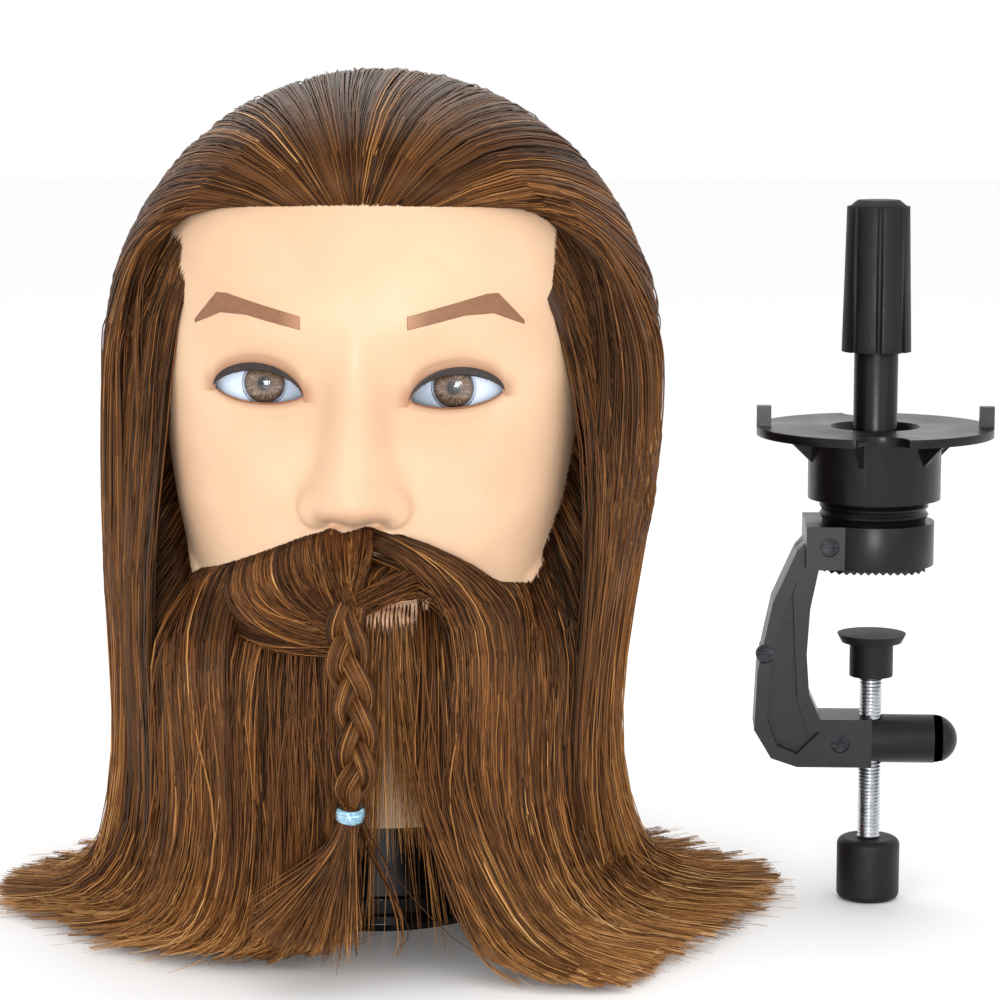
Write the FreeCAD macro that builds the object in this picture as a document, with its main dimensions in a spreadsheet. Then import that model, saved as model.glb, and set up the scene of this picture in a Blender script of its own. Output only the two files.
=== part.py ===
"""Mannequin training head with implanted hair, beard and braid, and its table clamp stand.

Frame: millimetres, +Z up, origin at the centre of the neck base's rim on the table.
The face looks along -Y.  The clamp stand waits beside the head, standing on its knob; it is
drawn in a frame of its own (post along +Z, jaw opening along +X) and set down by one Placement.
"""

import FreeCAD, Part
import math
import os
import Sketcher

from FreeCAD import Placement, Rotation, Vector

DRIVING = [
    # neck base, a hollow moulded cup under the neck
    ("base_height", 35.0), ("base_top_radius", 37.0), ("base_waist_radius", 38.5),
    ("base_ledge_radius", 40.0), ("base_ledge_height", 11.0), ("base_rim_radius", 42.0),
    ("base_rim_height", 5.0), ("base_wall", 3.0), ("rib_thickness", 2.0), ("rib_reach", 12.0),
    # socket tube that the stand's post goes into
    ("socket_bore", 12.6), ("socket_wall", 2.4), ("socket_depth", 64.0), ("socket_flange", 20.0),
    ("socket_flange_height", 3.0), ("base_screw_circle", 27.0), ("base_screw_start", 45.0), ("base_screw_radius", 1.9),
    ("base_screw_head", 3.6), ("base_screw_length", 16.0),
    # head shell
    ("skin_wall", 5.0), ("fit_gap", 0.1), ("soft_gap", 0.4),
    # eyes
    ("eye_spacing", 31.5), ("eye_height", 190.0), ("eye_centre_back", 61.0), ("eye_depth", 12.5),
    ("eye_half_width", 17.0), ("eye_half_height", 14.5), ("iris_radius", 6.2), ("iris_plane", 10.9),
    ("iris_thickness", 0.7), ("eye_opening_width", 15.6),
    ("eye_opening_arc", 18.5), ("lid_clearance", 0.3),
    # hair
    ("hair_thickness", 14.0), ("hair_floor_gap", 0.5), ("fan_height", 12.0), ("hairline_height", 248.0),
    ("beard_edge_angle", 62.0), ("side_edge_angle", 116.0), ("braid_top", 126.4), ("braid_bottom", 60.0),
    ("braid_forward", 111.6), ("braid_side", 0.5), ("braid_strand", 2.1), ("braid_sway", 4.2), ("braid_depth", 2.8),
    ("braid_pitch", 48.0), ("band_height", 4.4), ("band_radius", 5.0), ("band_wall", 0.9),
    # clamp frame
    ("arm_height", 17.0), ("jaw_bottom", 71.0), ("jaw_top", 86.0), ("frame_width", 20.0),
    ("frame_back", 41.0), ("frame_inner", 19.0), ("nose_radius", 8.5), ("nose_reach", 22.0),
    ("jaw_radius", 21.0), ("web_recess", 5.0), ("flange_margin", 4.5), ("frame_screw_radius", 3.2),
    ("frame_screw_depth", 1.6), ("pad_thickness", 2.0), ("tooth_pitch", 2.5), ("tooth_depth", 1.0),
    # stub, lock nut, post and sleeve
    ("stub_radius", 19.0), ("stub_top", 105.0), ("thread_depth", 1.0), ("stub_pitch", 3.0),
    ("ball_radius", 13.0), ("ball_height", 105.0), ("ball_seat_gap", 0.15), ("nut_radius", 23.0),
    ("nut_bore", 19.4), ("nut_bottom", 94.0), ("nut_top", 116.0), ("disc_radius", 41.0),
    ("disc_thickness", 3.0), ("nut_mouth", 12.0), ("wing_reach", 7.0), ("shaft_radius", 7.6),
    ("sleeve_bottom", 145.0), ("sleeve_top", 195.0), ("sleeve_low_radius", 12.0),
    ("sleeve_high_radius", 10.8), ("flute_radius", 1.1), ("flute_count", 8.0), ("post_core", 5.0),
    # clamp screw
    ("screw_radius", 4.0), ("screw_pitch", 1.25), ("screw_thread", 0.55), ("screw_bore", 4.25),
    ("knob_bottom", -49.0), ("knob_height", 22.0), ("knob_radius", 11.0), ("pad_face", 46.0),
    ("pad_cup_height", 12.0), ("pad_cup_radius", 7.6), ("pad_disc_radius", 12.0),
    ("pad_disc_thickness", 3.0), ("hex_nut_flat", 13.0), ("hex_nut_height", 6.5),
    # where the stand waits: its axis beside the head, turned about that axis, knob on the table
    ("clamp_x", 172.0), ("clamp_y", 12.0), ("clamp_turn", 0.0),
]

doc = FreeCAD.newDocument("mannequin_training_head")
sheet = doc.addObject("Spreadsheet::Sheet", "Sizes")


class Size:
    """A length or angle together with the spreadsheet expression that gives it."""

    def __init__(self, value, text):
        self.value, self.text = value, text

    def __add__(self, other):
        other = as_size(other)
        return Size(self.value + other.value, f"({self.text} + {other.text})")

    def __sub__(self, other):
        other = as_size(other)
        return Size(self.value - other.value, f"({self.text} - {other.text})")

    def __mul__(self, other):
        other = as_size(other)
        return Size(self.value * other.value, f"({self.text} * {other.text})")

    def __truediv__(self, other):
        other = as_size(other)
        return Size(self.value / other.value, f"({self.text} / {other.text})")

    def __neg__(self):
        return Size(-self.value, f"(-1 * {self.text})")

    __radd__ = __add__
    __rmul__ = __mul__


def as_size(number):
    return number if isinstance(number, Size) else Size(float(number), repr(float(number)))


sizes = {}
for row, (alias, number) in enumerate(DRIVING, start=1):
    sheet.set(f"A{row}", alias)
    sheet.set(f"B{row}", str(number))
    sheet.setAlias(f"B{row}", alias)
    sizes[alias] = Size(number, f"Sizes.{alias}")
doc.recompute()


def size(alias):
    return sizes[alias]


def mm(alias):
    return sizes[alias].value


# ---------------------------------------------------------------- document helpers

parts = []


def bind(thing, **properties):
    """Sets each property to a Size and binds it to the sheet."""
    for name, amount in properties.items():
        amount = as_size(amount)
        setattr(thing, name, amount.value)
        thing.setExpression(name, amount.text)


def place(thing, x=0, y=0, z=0, rotation=None):
    """Puts a feature at a bound position, turned by a fixed rotation."""
    x, y, z = as_size(x), as_size(y), as_size(z)
    thing.Placement = Placement(Vector(x.value, y.value, z.value), rotation or Rotation())
    for axis, amount in (("x", x), ("y", y), ("z", z)):
        thing.setExpression(f".Placement.Base.{axis}", amount.text)
    return thing


def cylinder(name, radius, height, x=0, y=0, z=0, rotation=None):
    made = doc.addObject("Part::Cylinder", name)
    bind(made, Radius=radius, Height=height)
    return place(made, x, y, z, rotation)


def cone(name, radius1, radius2, height, x=0, y=0, z=0, rotation=None):
    made = doc.addObject("Part::Cone", name)
    bind(made, Radius1=radius1, Radius2=radius2, Height=height)
    return place(made, x, y, z, rotation)


def box(name, length, width, height, x=0, y=0, z=0, rotation=None):
    made = doc.addObject("Part::Box", name)
    bind(made, Length=length, Width=width, Height=height)
    return place(made, x, y, z, rotation)


def eye_form(name, x, y, z, clearance=0.0):
    """The flattened ball of an eye, wider than it is high and deep."""
    made = doc.addObject("Part::Ellipsoid", name)
    bind(made, Radius1=size("eye_half_height") + clearance, Radius2=size("eye_half_width") + clearance,
         Radius3=size("eye_depth") + clearance)
    return place(made, x, y, z)


def sphere(name, radius, x=0, y=0, z=0):
    made = doc.addObject("Part::Sphere", name)
    bind(made, Radius=radius)
    return place(made, x, y, z)


def prism(name, circumradius, height, z=0):
    made = doc.addObject("Part::Prism", name)
    made.Polygon = 6
    bind(made, Circumradius=circumradius, Height=height)
    return place(made, 0, 0, z)


def cut(name, base, *tools):
    made = doc.addObject("Part::Cut", name)
    made.Base = base
    made.Tool = tools[0] if len(tools) == 1 else fuse(name + "_tools", *tools)
    return made


def fuse(name, *shapes):
    made = doc.addObject("Part::MultiFuse", name)
    made.Shapes = list(shapes)
    return made


def common(name, *shapes):
    made = doc.addObject("Part::MultiCommon", name)
    made.Shapes = list(shapes)
    return made


def feature(name, shape):
    """A Part::Feature for a free form that no parametric feature makes."""
    made = doc.addObject("Part::Feature", name)
    made.Shape = shape
    return made


def revolved(name, outline):
    """A PartDesign body turned about Z from a closed outline of (radius, height) corners."""
    body = doc.addObject("PartDesign::Body", name)
    sketch = body.newObject("Sketcher::SketchObject", name + "_profile")
    plane = [p for p in body.Origin.OriginFeatures if p.Role == "XZ_Plane"][0]
    sketch.AttachmentSupport = [(plane, "")]
    sketch.MapMode = "FlatFace"
    corners = [(as_size(r), as_size(z)) for r, z in outline]
    points = [Vector(r.value, z.value, 0) for r, z in corners]
    following = points[1:] + points[:1]
    sketch.addGeometry([Part.LineSegment(a, b) for a, b in zip(points, following)], False)
    for i, (r, z) in enumerate(corners):
        nxt = (i + 1) % len(corners)
        sketch.addConstraint(Sketcher.Constraint("Coincident", i, 2, nxt, 1))
        for kind, axis, amount in (("DistanceX", -2, r), ("DistanceY", -1, z)):
            if abs(amount.value) < 1e-9:
                sketch.addConstraint(Sketcher.Constraint("PointOnObject", i, 1, axis))
                continue
            index = sketch.addConstraint(Sketcher.Constraint(kind, -1, 1, i, 1, amount.value))
            sketch.setExpression(f"Constraints[{index}]", amount.text)
    turned = body.newObject("PartDesign::Revolution", name + "_turned")
    turned.Profile = sketch
    turned.ReferenceAxis = (sketch, ["V_Axis"])
    turned.Angle = 360
    doc.recompute()
    return body


def rounded(body, radius, *rings):
    """Fillets the circular edges of a revolved body that lie at the given (radius, height)."""
    base = body.Tip
    names = []
    for i, edge in enumerate(base.Shape.Edges, start=1):
        if not isinstance(edge.Curve, Part.Circle):
            continue
        for r, z in rings:
            r, z = as_size(r).value, as_size(z).value
            if abs(edge.Curve.Radius - r) < 0.01 and abs(edge.Curve.Center.z - z) < 0.01:
                names.append(f"Edge{i}")
    fillet = body.newObject("PartDesign::Fillet", body.Name + "_round")
    fillet.Base = (base, names)
    bind(fillet, Radius=radius)
    doc.recompute()
    return body


def node(label, thing):
    """Declares a finished sub-part: its label names its file."""
    thing.Label = label
    parts.append(thing)
    return thing


# ---------------------------------------------------------------- free-form helpers


def through(levels, at):
    """Reads a smooth curve through hand-set (position, value) levels at one position."""
    if at <= levels[0][0]:
        return levels[0][1]
    if at >= levels[-1][0]:
        return levels[-1][1]
    last = len(levels) - 1
    i = next(k for k in range(last) if levels[k + 1][0] >= at)
    before, low, high, after = (levels[min(max(k, 0), last)] for k in (i - 1, i, i + 1, i + 2))
    span = high[0] - low[0]
    t = (at - low[0]) / span
    slope_low = (high[1] - before[1]) / (high[0] - before[0]) * span
    slope_high = (after[1] - low[1]) / (after[0] - low[0]) * span
    return (
        (2 * t**3 - 3 * t**2 + 1) * low[1]
        + (t**3 - 2 * t**2 + t) * slope_low
        + (-2 * t**3 + 3 * t**2) * high[1]
        + (t**3 - t**2) * slope_high
    )


def hill(x, z, at_x, at_z, wide, tall, height):
    """A smooth bump or hollow of the face, seen from the front."""
    return height * math.exp(-(((x - at_x) / wide) ** 2 + ((z - at_z) / tall) ** 2) / 2)


# Skull outline: height, half width, how far the face and the back of the head stand from the axis
HEAD_LEVELS = [
    (35, 37.5, 37, 38), (52, 39, 38, 41), (68, 41, 42, 45), (78, 46, 58, 49), (87, 51, 76, 54),
    (97, 56, 83, 59), (112, 61, 85, 66), (130, 64, 86, 75), (148, 67, 87, 83), (168, 70, 86, 90),
    (190, 73, 85, 95), (210, 75, 87, 97), (230, 75, 85, 96), (246, 72, 78, 91), (260, 64, 65, 79),
    (271, 51, 46, 61), (278, 35, 27, 41), (282, 15, 10, 18),
]
HALF_WIDTH = [(row[0], row[1]) for row in HEAD_LEVELS]
FRONT = [(row[0], row[2]) for row in HEAD_LEVELS]
BACK = [(row[0], row[3]) for row in HEAD_LEVELS]


def face_relief(x, z):
    """How far the face stands out of the plain skull outline at one point."""
    side = abs(x)
    bridge = through([(148, 17.0), (154, 18.0), (166, 13.0), (180, 8.0), (192, 4.5), (204, 0.0)], z)
    fade = through([(138, 0.0), (146, 0.35), (151, 1.0), (204, 1.0), (212, 0.0)], z)
    ridge = bridge * fade * math.exp(-((side / through([(146, 8.5), (160, 7.5), (190, 6.0)], z)) ** 2))
    return (
        ridge
        + hill(side, z, 13.5, 152, 4.5, 5.5, 5.0)
        + hill(side, z, 31.5, 190, 14, 9, -7.0)
        + hill(side, z, 26, 209, 17, 6, 1.5)
        + hill(side, z, 42, 165, 14, 14, 2.5)
        + hill(side, z, 0, 124, 15, 4, 3.5)
        + hill(side, z, 0, 116, 12, 3.5, 3.0)
        + hill(side, z, 0, 93, 13, 9, 5.0)
    )


FACE_ANGLES = [0, 3, 6, 10, 14, 18, 23, 28, 34, 41, 49, 58, 68, 80, 95, 112, 130, 148, 165]
LOOP_ANGLES = FACE_ANGLES + [180] + [360 - a for a in reversed(FACE_ANGLES[1:])]


def skull_point(angle, z, grow, detailed):
    """A point of the head's surface, at an angle from straight ahead, grown outwards by grow."""
    turn = math.radians(angle)
    half = through(HALF_WIDTH, z) + grow
    ahead = math.cos(turn) > 0
    depth = (through(FRONT, z) if ahead else through(BACK, z)) + grow
    x = half * math.copysign(abs(math.sin(turn)) ** 0.92, math.sin(turn))
    y = -depth * math.cos(turn)
    if detailed and ahead:
        y -= face_relief(x, z) * min(1.0, 2.0 * math.cos(turn))
    return Vector(x, y, z)


def closed_skin(rings):
    """A solid whose side is one smooth surface steered by rings of points, closed by flat ends."""
    count, rows = len(rings[0]), len(rings)
    surface = Part.BSplineSurface()
    surface.buildFromPolesMultsKnots(
        [[ring[k] for ring in rings] for k in range(count)],
        [1] * (count + 1), [4] + [1] * (rows - 4) + [4],
        list(range(count + 1)), list(range(rows - 2)), True, False, 3, 3)
    side = surface.toShape()
    rims = [e for e in side.Edges if abs(e.BoundBox.ZLength) < 1e-6]
    ends = [Part.Face(Part.Wire([e])) for e in rims]
    shell = Part.makeShell([side] + ends)
    shell.sewShape()
    solid = Part.makeSolid(shell)
    return solid if solid.Volume > 0 else solid.reversed()


FACE_HEIGHTS = [35, 52, 66, 76, 84, 92, 100, 108, 115, 120, 126, 134, 142, 147, 151, 156, 163, 172,
                181, 190, 199, 208, 218, 230, 242, 253, 262, 270, 276, 280]


def skull(grow, heights, detailed):
    return closed_skin([[skull_point(a, z, grow, detailed) for a in LOOP_ANGLES] for z in heights])


# Hair outline: height, half width, reach to the front, reach to the back
HAIR_LEVELS = [
    (0, 124, 96, 128), (8, 118, 98, 122), (18, 106, 100, 114), (34, 95, 101, 107), (60, 90, 103, 104),
    (90, 89, 105, 104), (120, 92, 106, 107), (145, 95, 104, 109), (170, 97, 100, 112),
    (200, 96, 96, 113), (225, 92, 92, 112), (248, 84, 85, 106), (262, 73, 74, 95), (276, 55, 53, 76),
    (286, 34, 28, 50), (291, 12, 8, 22),
]
HAIR_WIDTH = [(row[0], row[1]) for row in HAIR_LEVELS]
HAIR_FRONT = [(row[0], row[2]) for row in HAIR_LEVELS]
HAIR_BACK = [(row[0], row[3]) for row in HAIR_LEVELS]


def hair_reach(angle, z):
    """Distance of the hair's outer surface from the axis at an angle from straight ahead."""
    turn = math.radians(angle)
    half = through(HAIR_WIDTH, z)
    depth = through(HAIR_FRONT if math.cos(turn) > 0 else HAIR_BACK, z)
    return 1.0 / math.hypot(math.sin(turn) / half, math.cos(turn) / depth)


def head_reach(angle, z, gap):
    """Distance of the head's bare surface from the axis, with a gap, as the hair clears it."""
    turn = math.radians(angle)
    point = skull_point(angle, z, gap, True)
    seen = math.degrees(math.atan2(point.x, -point.y))
    stretch = math.hypot(point.x, point.y)
    half, depth = through(HALF_WIDTH, z), through(FRONT if math.cos(turn) > 0 else BACK, z)
    plain = 1.0 / math.hypot(math.sin(turn) / half, math.cos(turn) / depth)
    return max(stretch if abs(seen - angle) < 4 else 0.0, plain + gap + 2.0)


def at(angle, reach, z):
    turn = math.radians(angle)
    return Vector(reach * math.sin(turn), -reach * math.cos(turn), z)


def curtain(angles, bottom, top, thickness, bottom_reach=None):
    """A hanging sheet of hair: upright sections at each angle, lofted round the head.

    bottom and top are functions of the angle; thickness is a function of the height.
    """
    wires = []
    for angle in angles:
        low, high = bottom(angle), top(angle)
        heights = [low + (high - low) * k / 7 for k in range(8)]
        outer = [at(angle, hair_reach(angle, z), z) for z in heights]
        inner = []
        for z in reversed(heights):
            reach = hair_reach(angle, z) - thickness(z)
            if z > 76:
                reach = max(reach, head_reach(angle, z, mm("soft_gap")))
            inner.append(at(angle, min(reach, hair_reach(angle, z) - 1.5), z))
        steps = [k / 7 for k in range(8)]
        edges = []
        for points in (outer, inner):
            curve = Part.BSplineCurve()
            curve.interpolate(Points=points, Parameters=steps)
            edges.append(curve.toShape())
        top_edge = Part.makeLine(outer[-1], inner[0])
        bottom_edge = Part.makeLine(inner[-1], outer[0])
        wires.append(Part.Wire([edges[0], top_edge, edges[1], bottom_edge]))
    return Part.makeLoft(wires, True, False)


def spread(low, high, count):
    return [low + (high - low) * k / (count - 1) for k in range(count)]


def mirrored(angles):
    return [-a for a in reversed(angles)]


# ---------------------------------------------------------------- neck base and socket


def make_base():
    inner_top = size("base_height") - size("base_wall")
    shell = revolved("base_shell", [
        (size("socket_bore") + size("socket_wall") + size("fit_gap"), inner_top),
        (size("base_top_radius") - size("base_wall"), inner_top),
        (size("base_waist_radius") - size("base_wall"), size("base_ledge_height")),
        (size("base_ledge_radius") - size("base_wall"), size("base_rim_height")),
        (size("base_ledge_radius") - size("base_wall"), 0),
        (size("base_rim_radius") - 1, 0),
        (size("base_rim_radius"), size("base_rim_height") / 2),
        (size("base_rim_radius") - 1, size("base_rim_height")),
        (size("base_ledge_radius"), size("base_rim_height") + 1),
        (size("base_ledge_radius"), size("base_ledge_height")),
        (size("base_waist_radius"), size("base_ledge_height") + 0.6),
        (size("base_top_radius"), size("base_height")),
        (size("socket_bore") + size("socket_wall") + size("fit_gap"), size("base_height")),
    ])
    rounded(shell, size("base_wall") / 6,
            (size("base_rim_radius"), size("base_rim_height") / 2),
            (size("base_ledge_radius"), size("base_ledge_height")))
    ribs = []
    holes = []
    for k in range(6):
        turn = Rotation(Vector(0, 0, 1), 60.0 * k)
        rib = box(f"rib_{k}", size("rib_reach"), size("rib_thickness"), 18, 0, 0,
                  inner_top - 18 + 0.5, turn)
        reach = (size("base_top_radius") - size("base_wall") - size("rib_reach") + 1).value
        shift = turn.multVec(Vector(reach, -mm("rib_thickness") / 2, 0))
        place(rib, shift.x, shift.y, inner_top - 17.5, turn)
        ribs.append(rib)
    for k in range(4):
        spot = Rotation(Vector(0, 0, 1), mm("base_screw_start") + 90.0 * k).multVec(Vector(mm("base_screw_circle"), 0, 0))
        holes.append(cylinder(f"base_screw_hole_{k}", size("base_screw_radius") + size("fit_gap"),
                              size("base_wall") * 3, spot.x, spot.y, inner_top - 2))
    return cut("neck_base", fuse("base_ribbed", shell, *ribs), *holes)


def make_socket():
    outer = size("socket_bore") + size("socket_wall")
    bottom = size("base_height") - size("base_wall") - size("socket_flange_height")
    top = size("base_height") + size("socket_depth")
    return revolved("socket_tube", [
        (size("socket_bore"), bottom),
        (size("socket_flange"), bottom),
        (size("socket_flange"), bottom + size("socket_flange_height")),
        (outer, bottom + size("socket_flange_height")),
        (outer, top),
        (0, top),
        (0, top - size("socket_wall")),
        (size("socket_bore"), top - size("socket_wall")),
    ])


def make_base_screws():
    under = size("base_height") - size("base_wall")
    screws = []
    for k in range(4):
        spot = Rotation(Vector(0, 0, 1), mm("base_screw_start") + 90.0 * k).multVec(Vector(mm("base_screw_circle"), 0, 0))
        shank = cylinder(f"base_screw_shank_{k}", size("base_screw_radius"),
                         size("base_screw_length") + 0.5, spot.x, spot.y, under - 0.5)
        head = cone(f"base_screw_cap_{k}", size("base_screw_head") - 1, size("base_screw_head"),
                    2, spot.x, spot.y, under - 2)
        slot = box(f"base_screw_slot_{k}", size("base_screw_head") * 2, 1, 1,
                   spot.x - mm("base_screw_head"), spot.y - 0.5, under - 2.2)
        screws.append(cut(f"base_screw_{k}", fuse(f"base_screw_body_{k}", head, shank), slot))
    return fuse("base_screws", *screws)


node("neck_base", make_base())
node("socket_tube", make_socket())
node("base_screws", make_base_screws())

# ---------------------------------------------------------------- head shell, core and eyes


def eye_spot(side):
    return Vector(side * mm("eye_spacing"), -mm("eye_centre_back"), mm("eye_height"))


def eye_opening(side):
    """The almond between the eyelids, as a prism along Y that reaches into the eye socket."""
    middle = eye_spot(side)
    half = mm("eye_opening_width")
    rise = mm("eye_opening_arc") - math.sqrt(mm("eye_opening_arc") ** 2 - half**2 * 0.72)
    left, right = middle + Vector(-half, 0, 0), middle + Vector(half, 0, 0)
    upper = Part.Arc(left, middle + Vector(0, 0, rise * 0.85), right).toShape()
    lower = Part.Arc(right, middle + Vector(0, 0, -rise * 0.6), left).toShape()
    almond = Part.Face(Part.Wire([upper, lower]))
    return almond.extrude(Vector(0, -60, 0))


inner_heights = [h for h in FACE_HEIGHTS if 35 < h < 276]
outer_skin = skull(0, FACE_HEIGHTS, True)
cavity_heights = [34] + inner_heights + [276]
cavity = skull(-mm("skin_wall"), cavity_heights, False)
eye_pockets = []
for side in (-1, 1):
    pocket = eye_form(f"eye_pocket_{2 + side}", size("eye_spacing") * side, -size("eye_centre_back"),
                      size("eye_height"), mm("lid_clearance"))
    doc.recompute()
    eye_pockets += [pocket.Shape, eye_opening(side)]
skin_shape = outer_skin.cut(cavity)
for pocket in eye_pockets:
    skin_shape = skin_shape.cut(pocket)
node("head_skin", feature("head_skin", max(skin_shape.Solids, key=lambda s: s.Volume)))

core = skull(-mm("skin_wall") - mm("fit_gap"), [35.0] + inner_heights + [275.5], False)
core = core.cut(Part.makeCylinder(mm("socket_bore") + mm("socket_wall") + mm("fit_gap"),
                                  mm("socket_depth") + 1, Vector(0, 0, 34.9)))
for k in range(4):
    spot = Rotation(Vector(0, 0, 1), mm("base_screw_start") + 90.0 * k).multVec(Vector(mm("base_screw_circle"), 0, 0))
    core = core.cut(Part.makeCylinder(mm("base_screw_radius") + mm("fit_gap"), mm("base_screw_length"),
                                      spot + Vector(0, 0, 34)))
for side in (-1, 1):
    bottom = eye_spot(side) + Vector(0, mm("eye_depth") + mm("lid_clearance"), 0)
    core = core.cut(Part.makeCylinder(mm("eye_half_width") + mm("lid_clearance"), 60, bottom, Vector(0, -1, 0)))
node("foam_core", feature("foam_core", max(core.Solids, key=lambda s: s.Volume)))

for side, word in ((-1, "right"), (1, "left")):
    ahead = Rotation(Vector(1, 0, 0), 90)
    x, y, z = size("eye_spacing") * side, -size("eye_centre_back"), size("eye_height")
    plane = y - size("iris_plane")
    ball = eye_form(f"{word}_eye_ball", x, y, z)
    front = cylinder(f"{word}_eye_front", size("eye_half_width"), size("eye_depth"), x, plane, z, ahead)
    seat = cylinder(f"{word}_iris_seat", size("iris_radius") + 0.05, size("iris_thickness") + 0.05,
                    x, plane + size("iris_thickness") + 0.05, z, ahead)
    node(f"{word}_eye", cut(f"{word}_eye", ball, front, seat))
    node(f"{word}_iris", cylinder(f"{word}_iris", size("iris_radius"), size("iris_thickness"),
                                  x, plane + size("iris_thickness"), z, ahead))
    dome = eye_form(f"{word}_dome", x, y, z)
    keep = cylinder(f"{word}_dome_keep", size("eye_half_width"), size("eye_depth"), x, plane, z, ahead)
    node(f"{word}_cornea", common(f"{word}_cornea", dome, keep))

# ---------------------------------------------------------------- hair, beard and braid

floor_gap = mm("hair_floor_gap")
fan_top = mm("fan_height")
edge = mm("beard_edge_angle")
side_edge = mm("side_edge_angle")
hairline = mm("hairline_height")
gap_angle = 0.4


def curtain_thickness(z):
    return through([(0, 10), (40, 9), (90, 12), (150, mm("hair_thickness")), (200, 16), (248, 13)], z)


def fan_thickness(z):
    return through([(0, 46), (12, 30)], z)


def beard_top(angle):
    """The moustache's lower edge."""
    return through([(0, 127), (30, 124), (62, 118)], abs(angle))


def moustache_top(angle):
    """The shaved line over the moustache and along the cheeks."""
    return through([(0, 146), (12, 143), (28, 133), (45, 125.5), (62, 123)], abs(angle))


def level(z):
    return lambda angle: z


def sides(name, angles, bottom, top, thickness):
    """The same curtain on the wearer's left (+X) and right (-X)."""
    for word, run in (("left", angles), ("right", mirrored(angles))):
        label = name.format(word)
        node(label, feature(label, curtain(run, bottom, top, thickness)))


strip = fan_top + 0.4
sides("{}_side_hair", spread(edge + gap_angle, side_edge - gap_angle, 5), level(strip), level(hairline - 0.4),
      curtain_thickness)
node("back_hair", feature("back_hair", curtain(spread(side_edge + gap_angle, 360 - side_edge - gap_angle, 9),
                                               level(strip), level(hairline - 0.4), curtain_thickness)))
sides("{}_beard", spread(3, edge - gap_angle, 5), level(strip), lambda a: beard_top(a) - 0.4, curtain_thickness)
sides("{}_moustache", spread(0.3, edge - gap_angle, 11), beard_top, moustache_top, curtain_thickness)
sides("{}_hair_fan", spread(16, side_edge - gap_angle, 6), level(floor_gap), level(fan_top), fan_thickness)
node("back_hair_fan", feature("back_hair_fan", curtain(spread(side_edge + gap_angle, 360 - side_edge - gap_angle, 9),
                                                       level(floor_gap), level(fan_top), fan_thickness)))


def hair_ring(z, grow):
    return [at(a, hair_reach(a, z) + grow, z) for a in LOOP_ANGLES]


crown_heights = [hairline, 256, 264, 271, 278, 284, 288, 290.5]
crown = closed_skin([hair_ring(z, 0) for z in crown_heights])
scalp = skull(mm("soft_gap"), [240, 248, 253, 262, 270, 276, 280, 282.5], False)
crown_hair = crown.cut(scalp)
node("crown_hair", feature("crown_hair", max(crown_hair.Solids, key=lambda s: s.Volume)))


def braid_point(turn, z):
    """The centre line of one of three plaited strands, at a height and a starting turn."""
    phase = 2 * math.pi * (z / mm("braid_pitch") + turn)
    return Vector(mm("braid_sway") * math.sin(phase) - mm("braid_side"),
                  -mm("braid_forward") + mm("braid_depth") * math.sin(2 * phase), z)


def strand(turn):
    low, high = mm("braid_bottom") + 1.6, mm("braid_top")
    line = [braid_point(turn, z) for z in spread(low, high, 22)]
    path = Part.BSplineCurve()
    path.interpolate(line)
    start = Part.Circle(line[0], line[1] - line[0], mm("braid_strand")).toShape()
    return Part.Wire([path.toShape()]).makePipeShell([Part.Wire([start])], True, False)


for k in range(3):
    node(f"braid_strand_{k + 1}", feature(f"braid_strand_{k + 1}", strand(k / 3)))

band_low = size("braid_bottom") - size("band_height")
band_x, band_y = -size("braid_side"), -size("braid_forward")
ring = cylinder("band_outside", size("band_radius"), size("band_height"), band_x, band_y, band_low)
hole = cylinder("band_inside", size("band_radius") - size("band_wall"), size("band_height") + 2,
                band_x, band_y, band_low - 1)
node("braid_band", cut("braid_band", ring, hole))


def braid_tail():
    """The loose end under the band: it swells, then falls to the wearer's right."""
    neck = mm("band_radius") - mm("band_wall") - 3 * mm("fit_gap")
    rows = [(0, 0, 0, neck, neck), (-5, 0, 0, neck, neck), (-14, -2, 1, 6.5, 5.5), (-27, -9, 2, 11, 5.5),
            (-39, -15, 3, 15, 5)]
    wires = []
    for drop, aside, forward, wide, deep in rows:
        centre = Vector(aside - mm("braid_side"), -mm("braid_forward") - forward, mm("braid_bottom") + drop)
        shape = Part.Ellipse(centre, wide, min(deep, wide - 0.001))
        wires.append(Part.Wire([shape.toShape()]))
    return Part.makeLoft(wires, True, False)


node("braid_tail", feature("braid_tail", braid_tail()))

# ---------------------------------------------------------------- clamp stand

set_down = Placement(Vector(mm("clamp_x"), mm("clamp_y"), -mm("knob_bottom")),
                     Rotation(Vector(0, 0, 1), mm("clamp_turn")))


def clamp_node(label, thing):
    """Declares one of the stand's sub-parts and sets it down beside the head with the others."""
    node(label, thing)
    thing.Placement = set_down.multiply(thing.Placement)
    return thing


def plate(name, corners, width, middle=0.0, radius=None):
    """A flat piece of the frame: an outline in the XZ plane, extruded along Y about the middle."""
    points = [Vector(x, middle - width / 2, z) for x, z in corners]
    face = Part.Face(Part.makePolygon(points + points[:1]))
    solid = face.extrude(Vector(0, width, 0))
    if radius:
        upright = [e for e in solid.Edges if abs(e.tangentAt(e.FirstParameter).y) > 0.99]
        solid = solid.makeFillet(radius, upright)
    return feature(name, solid)


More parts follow.
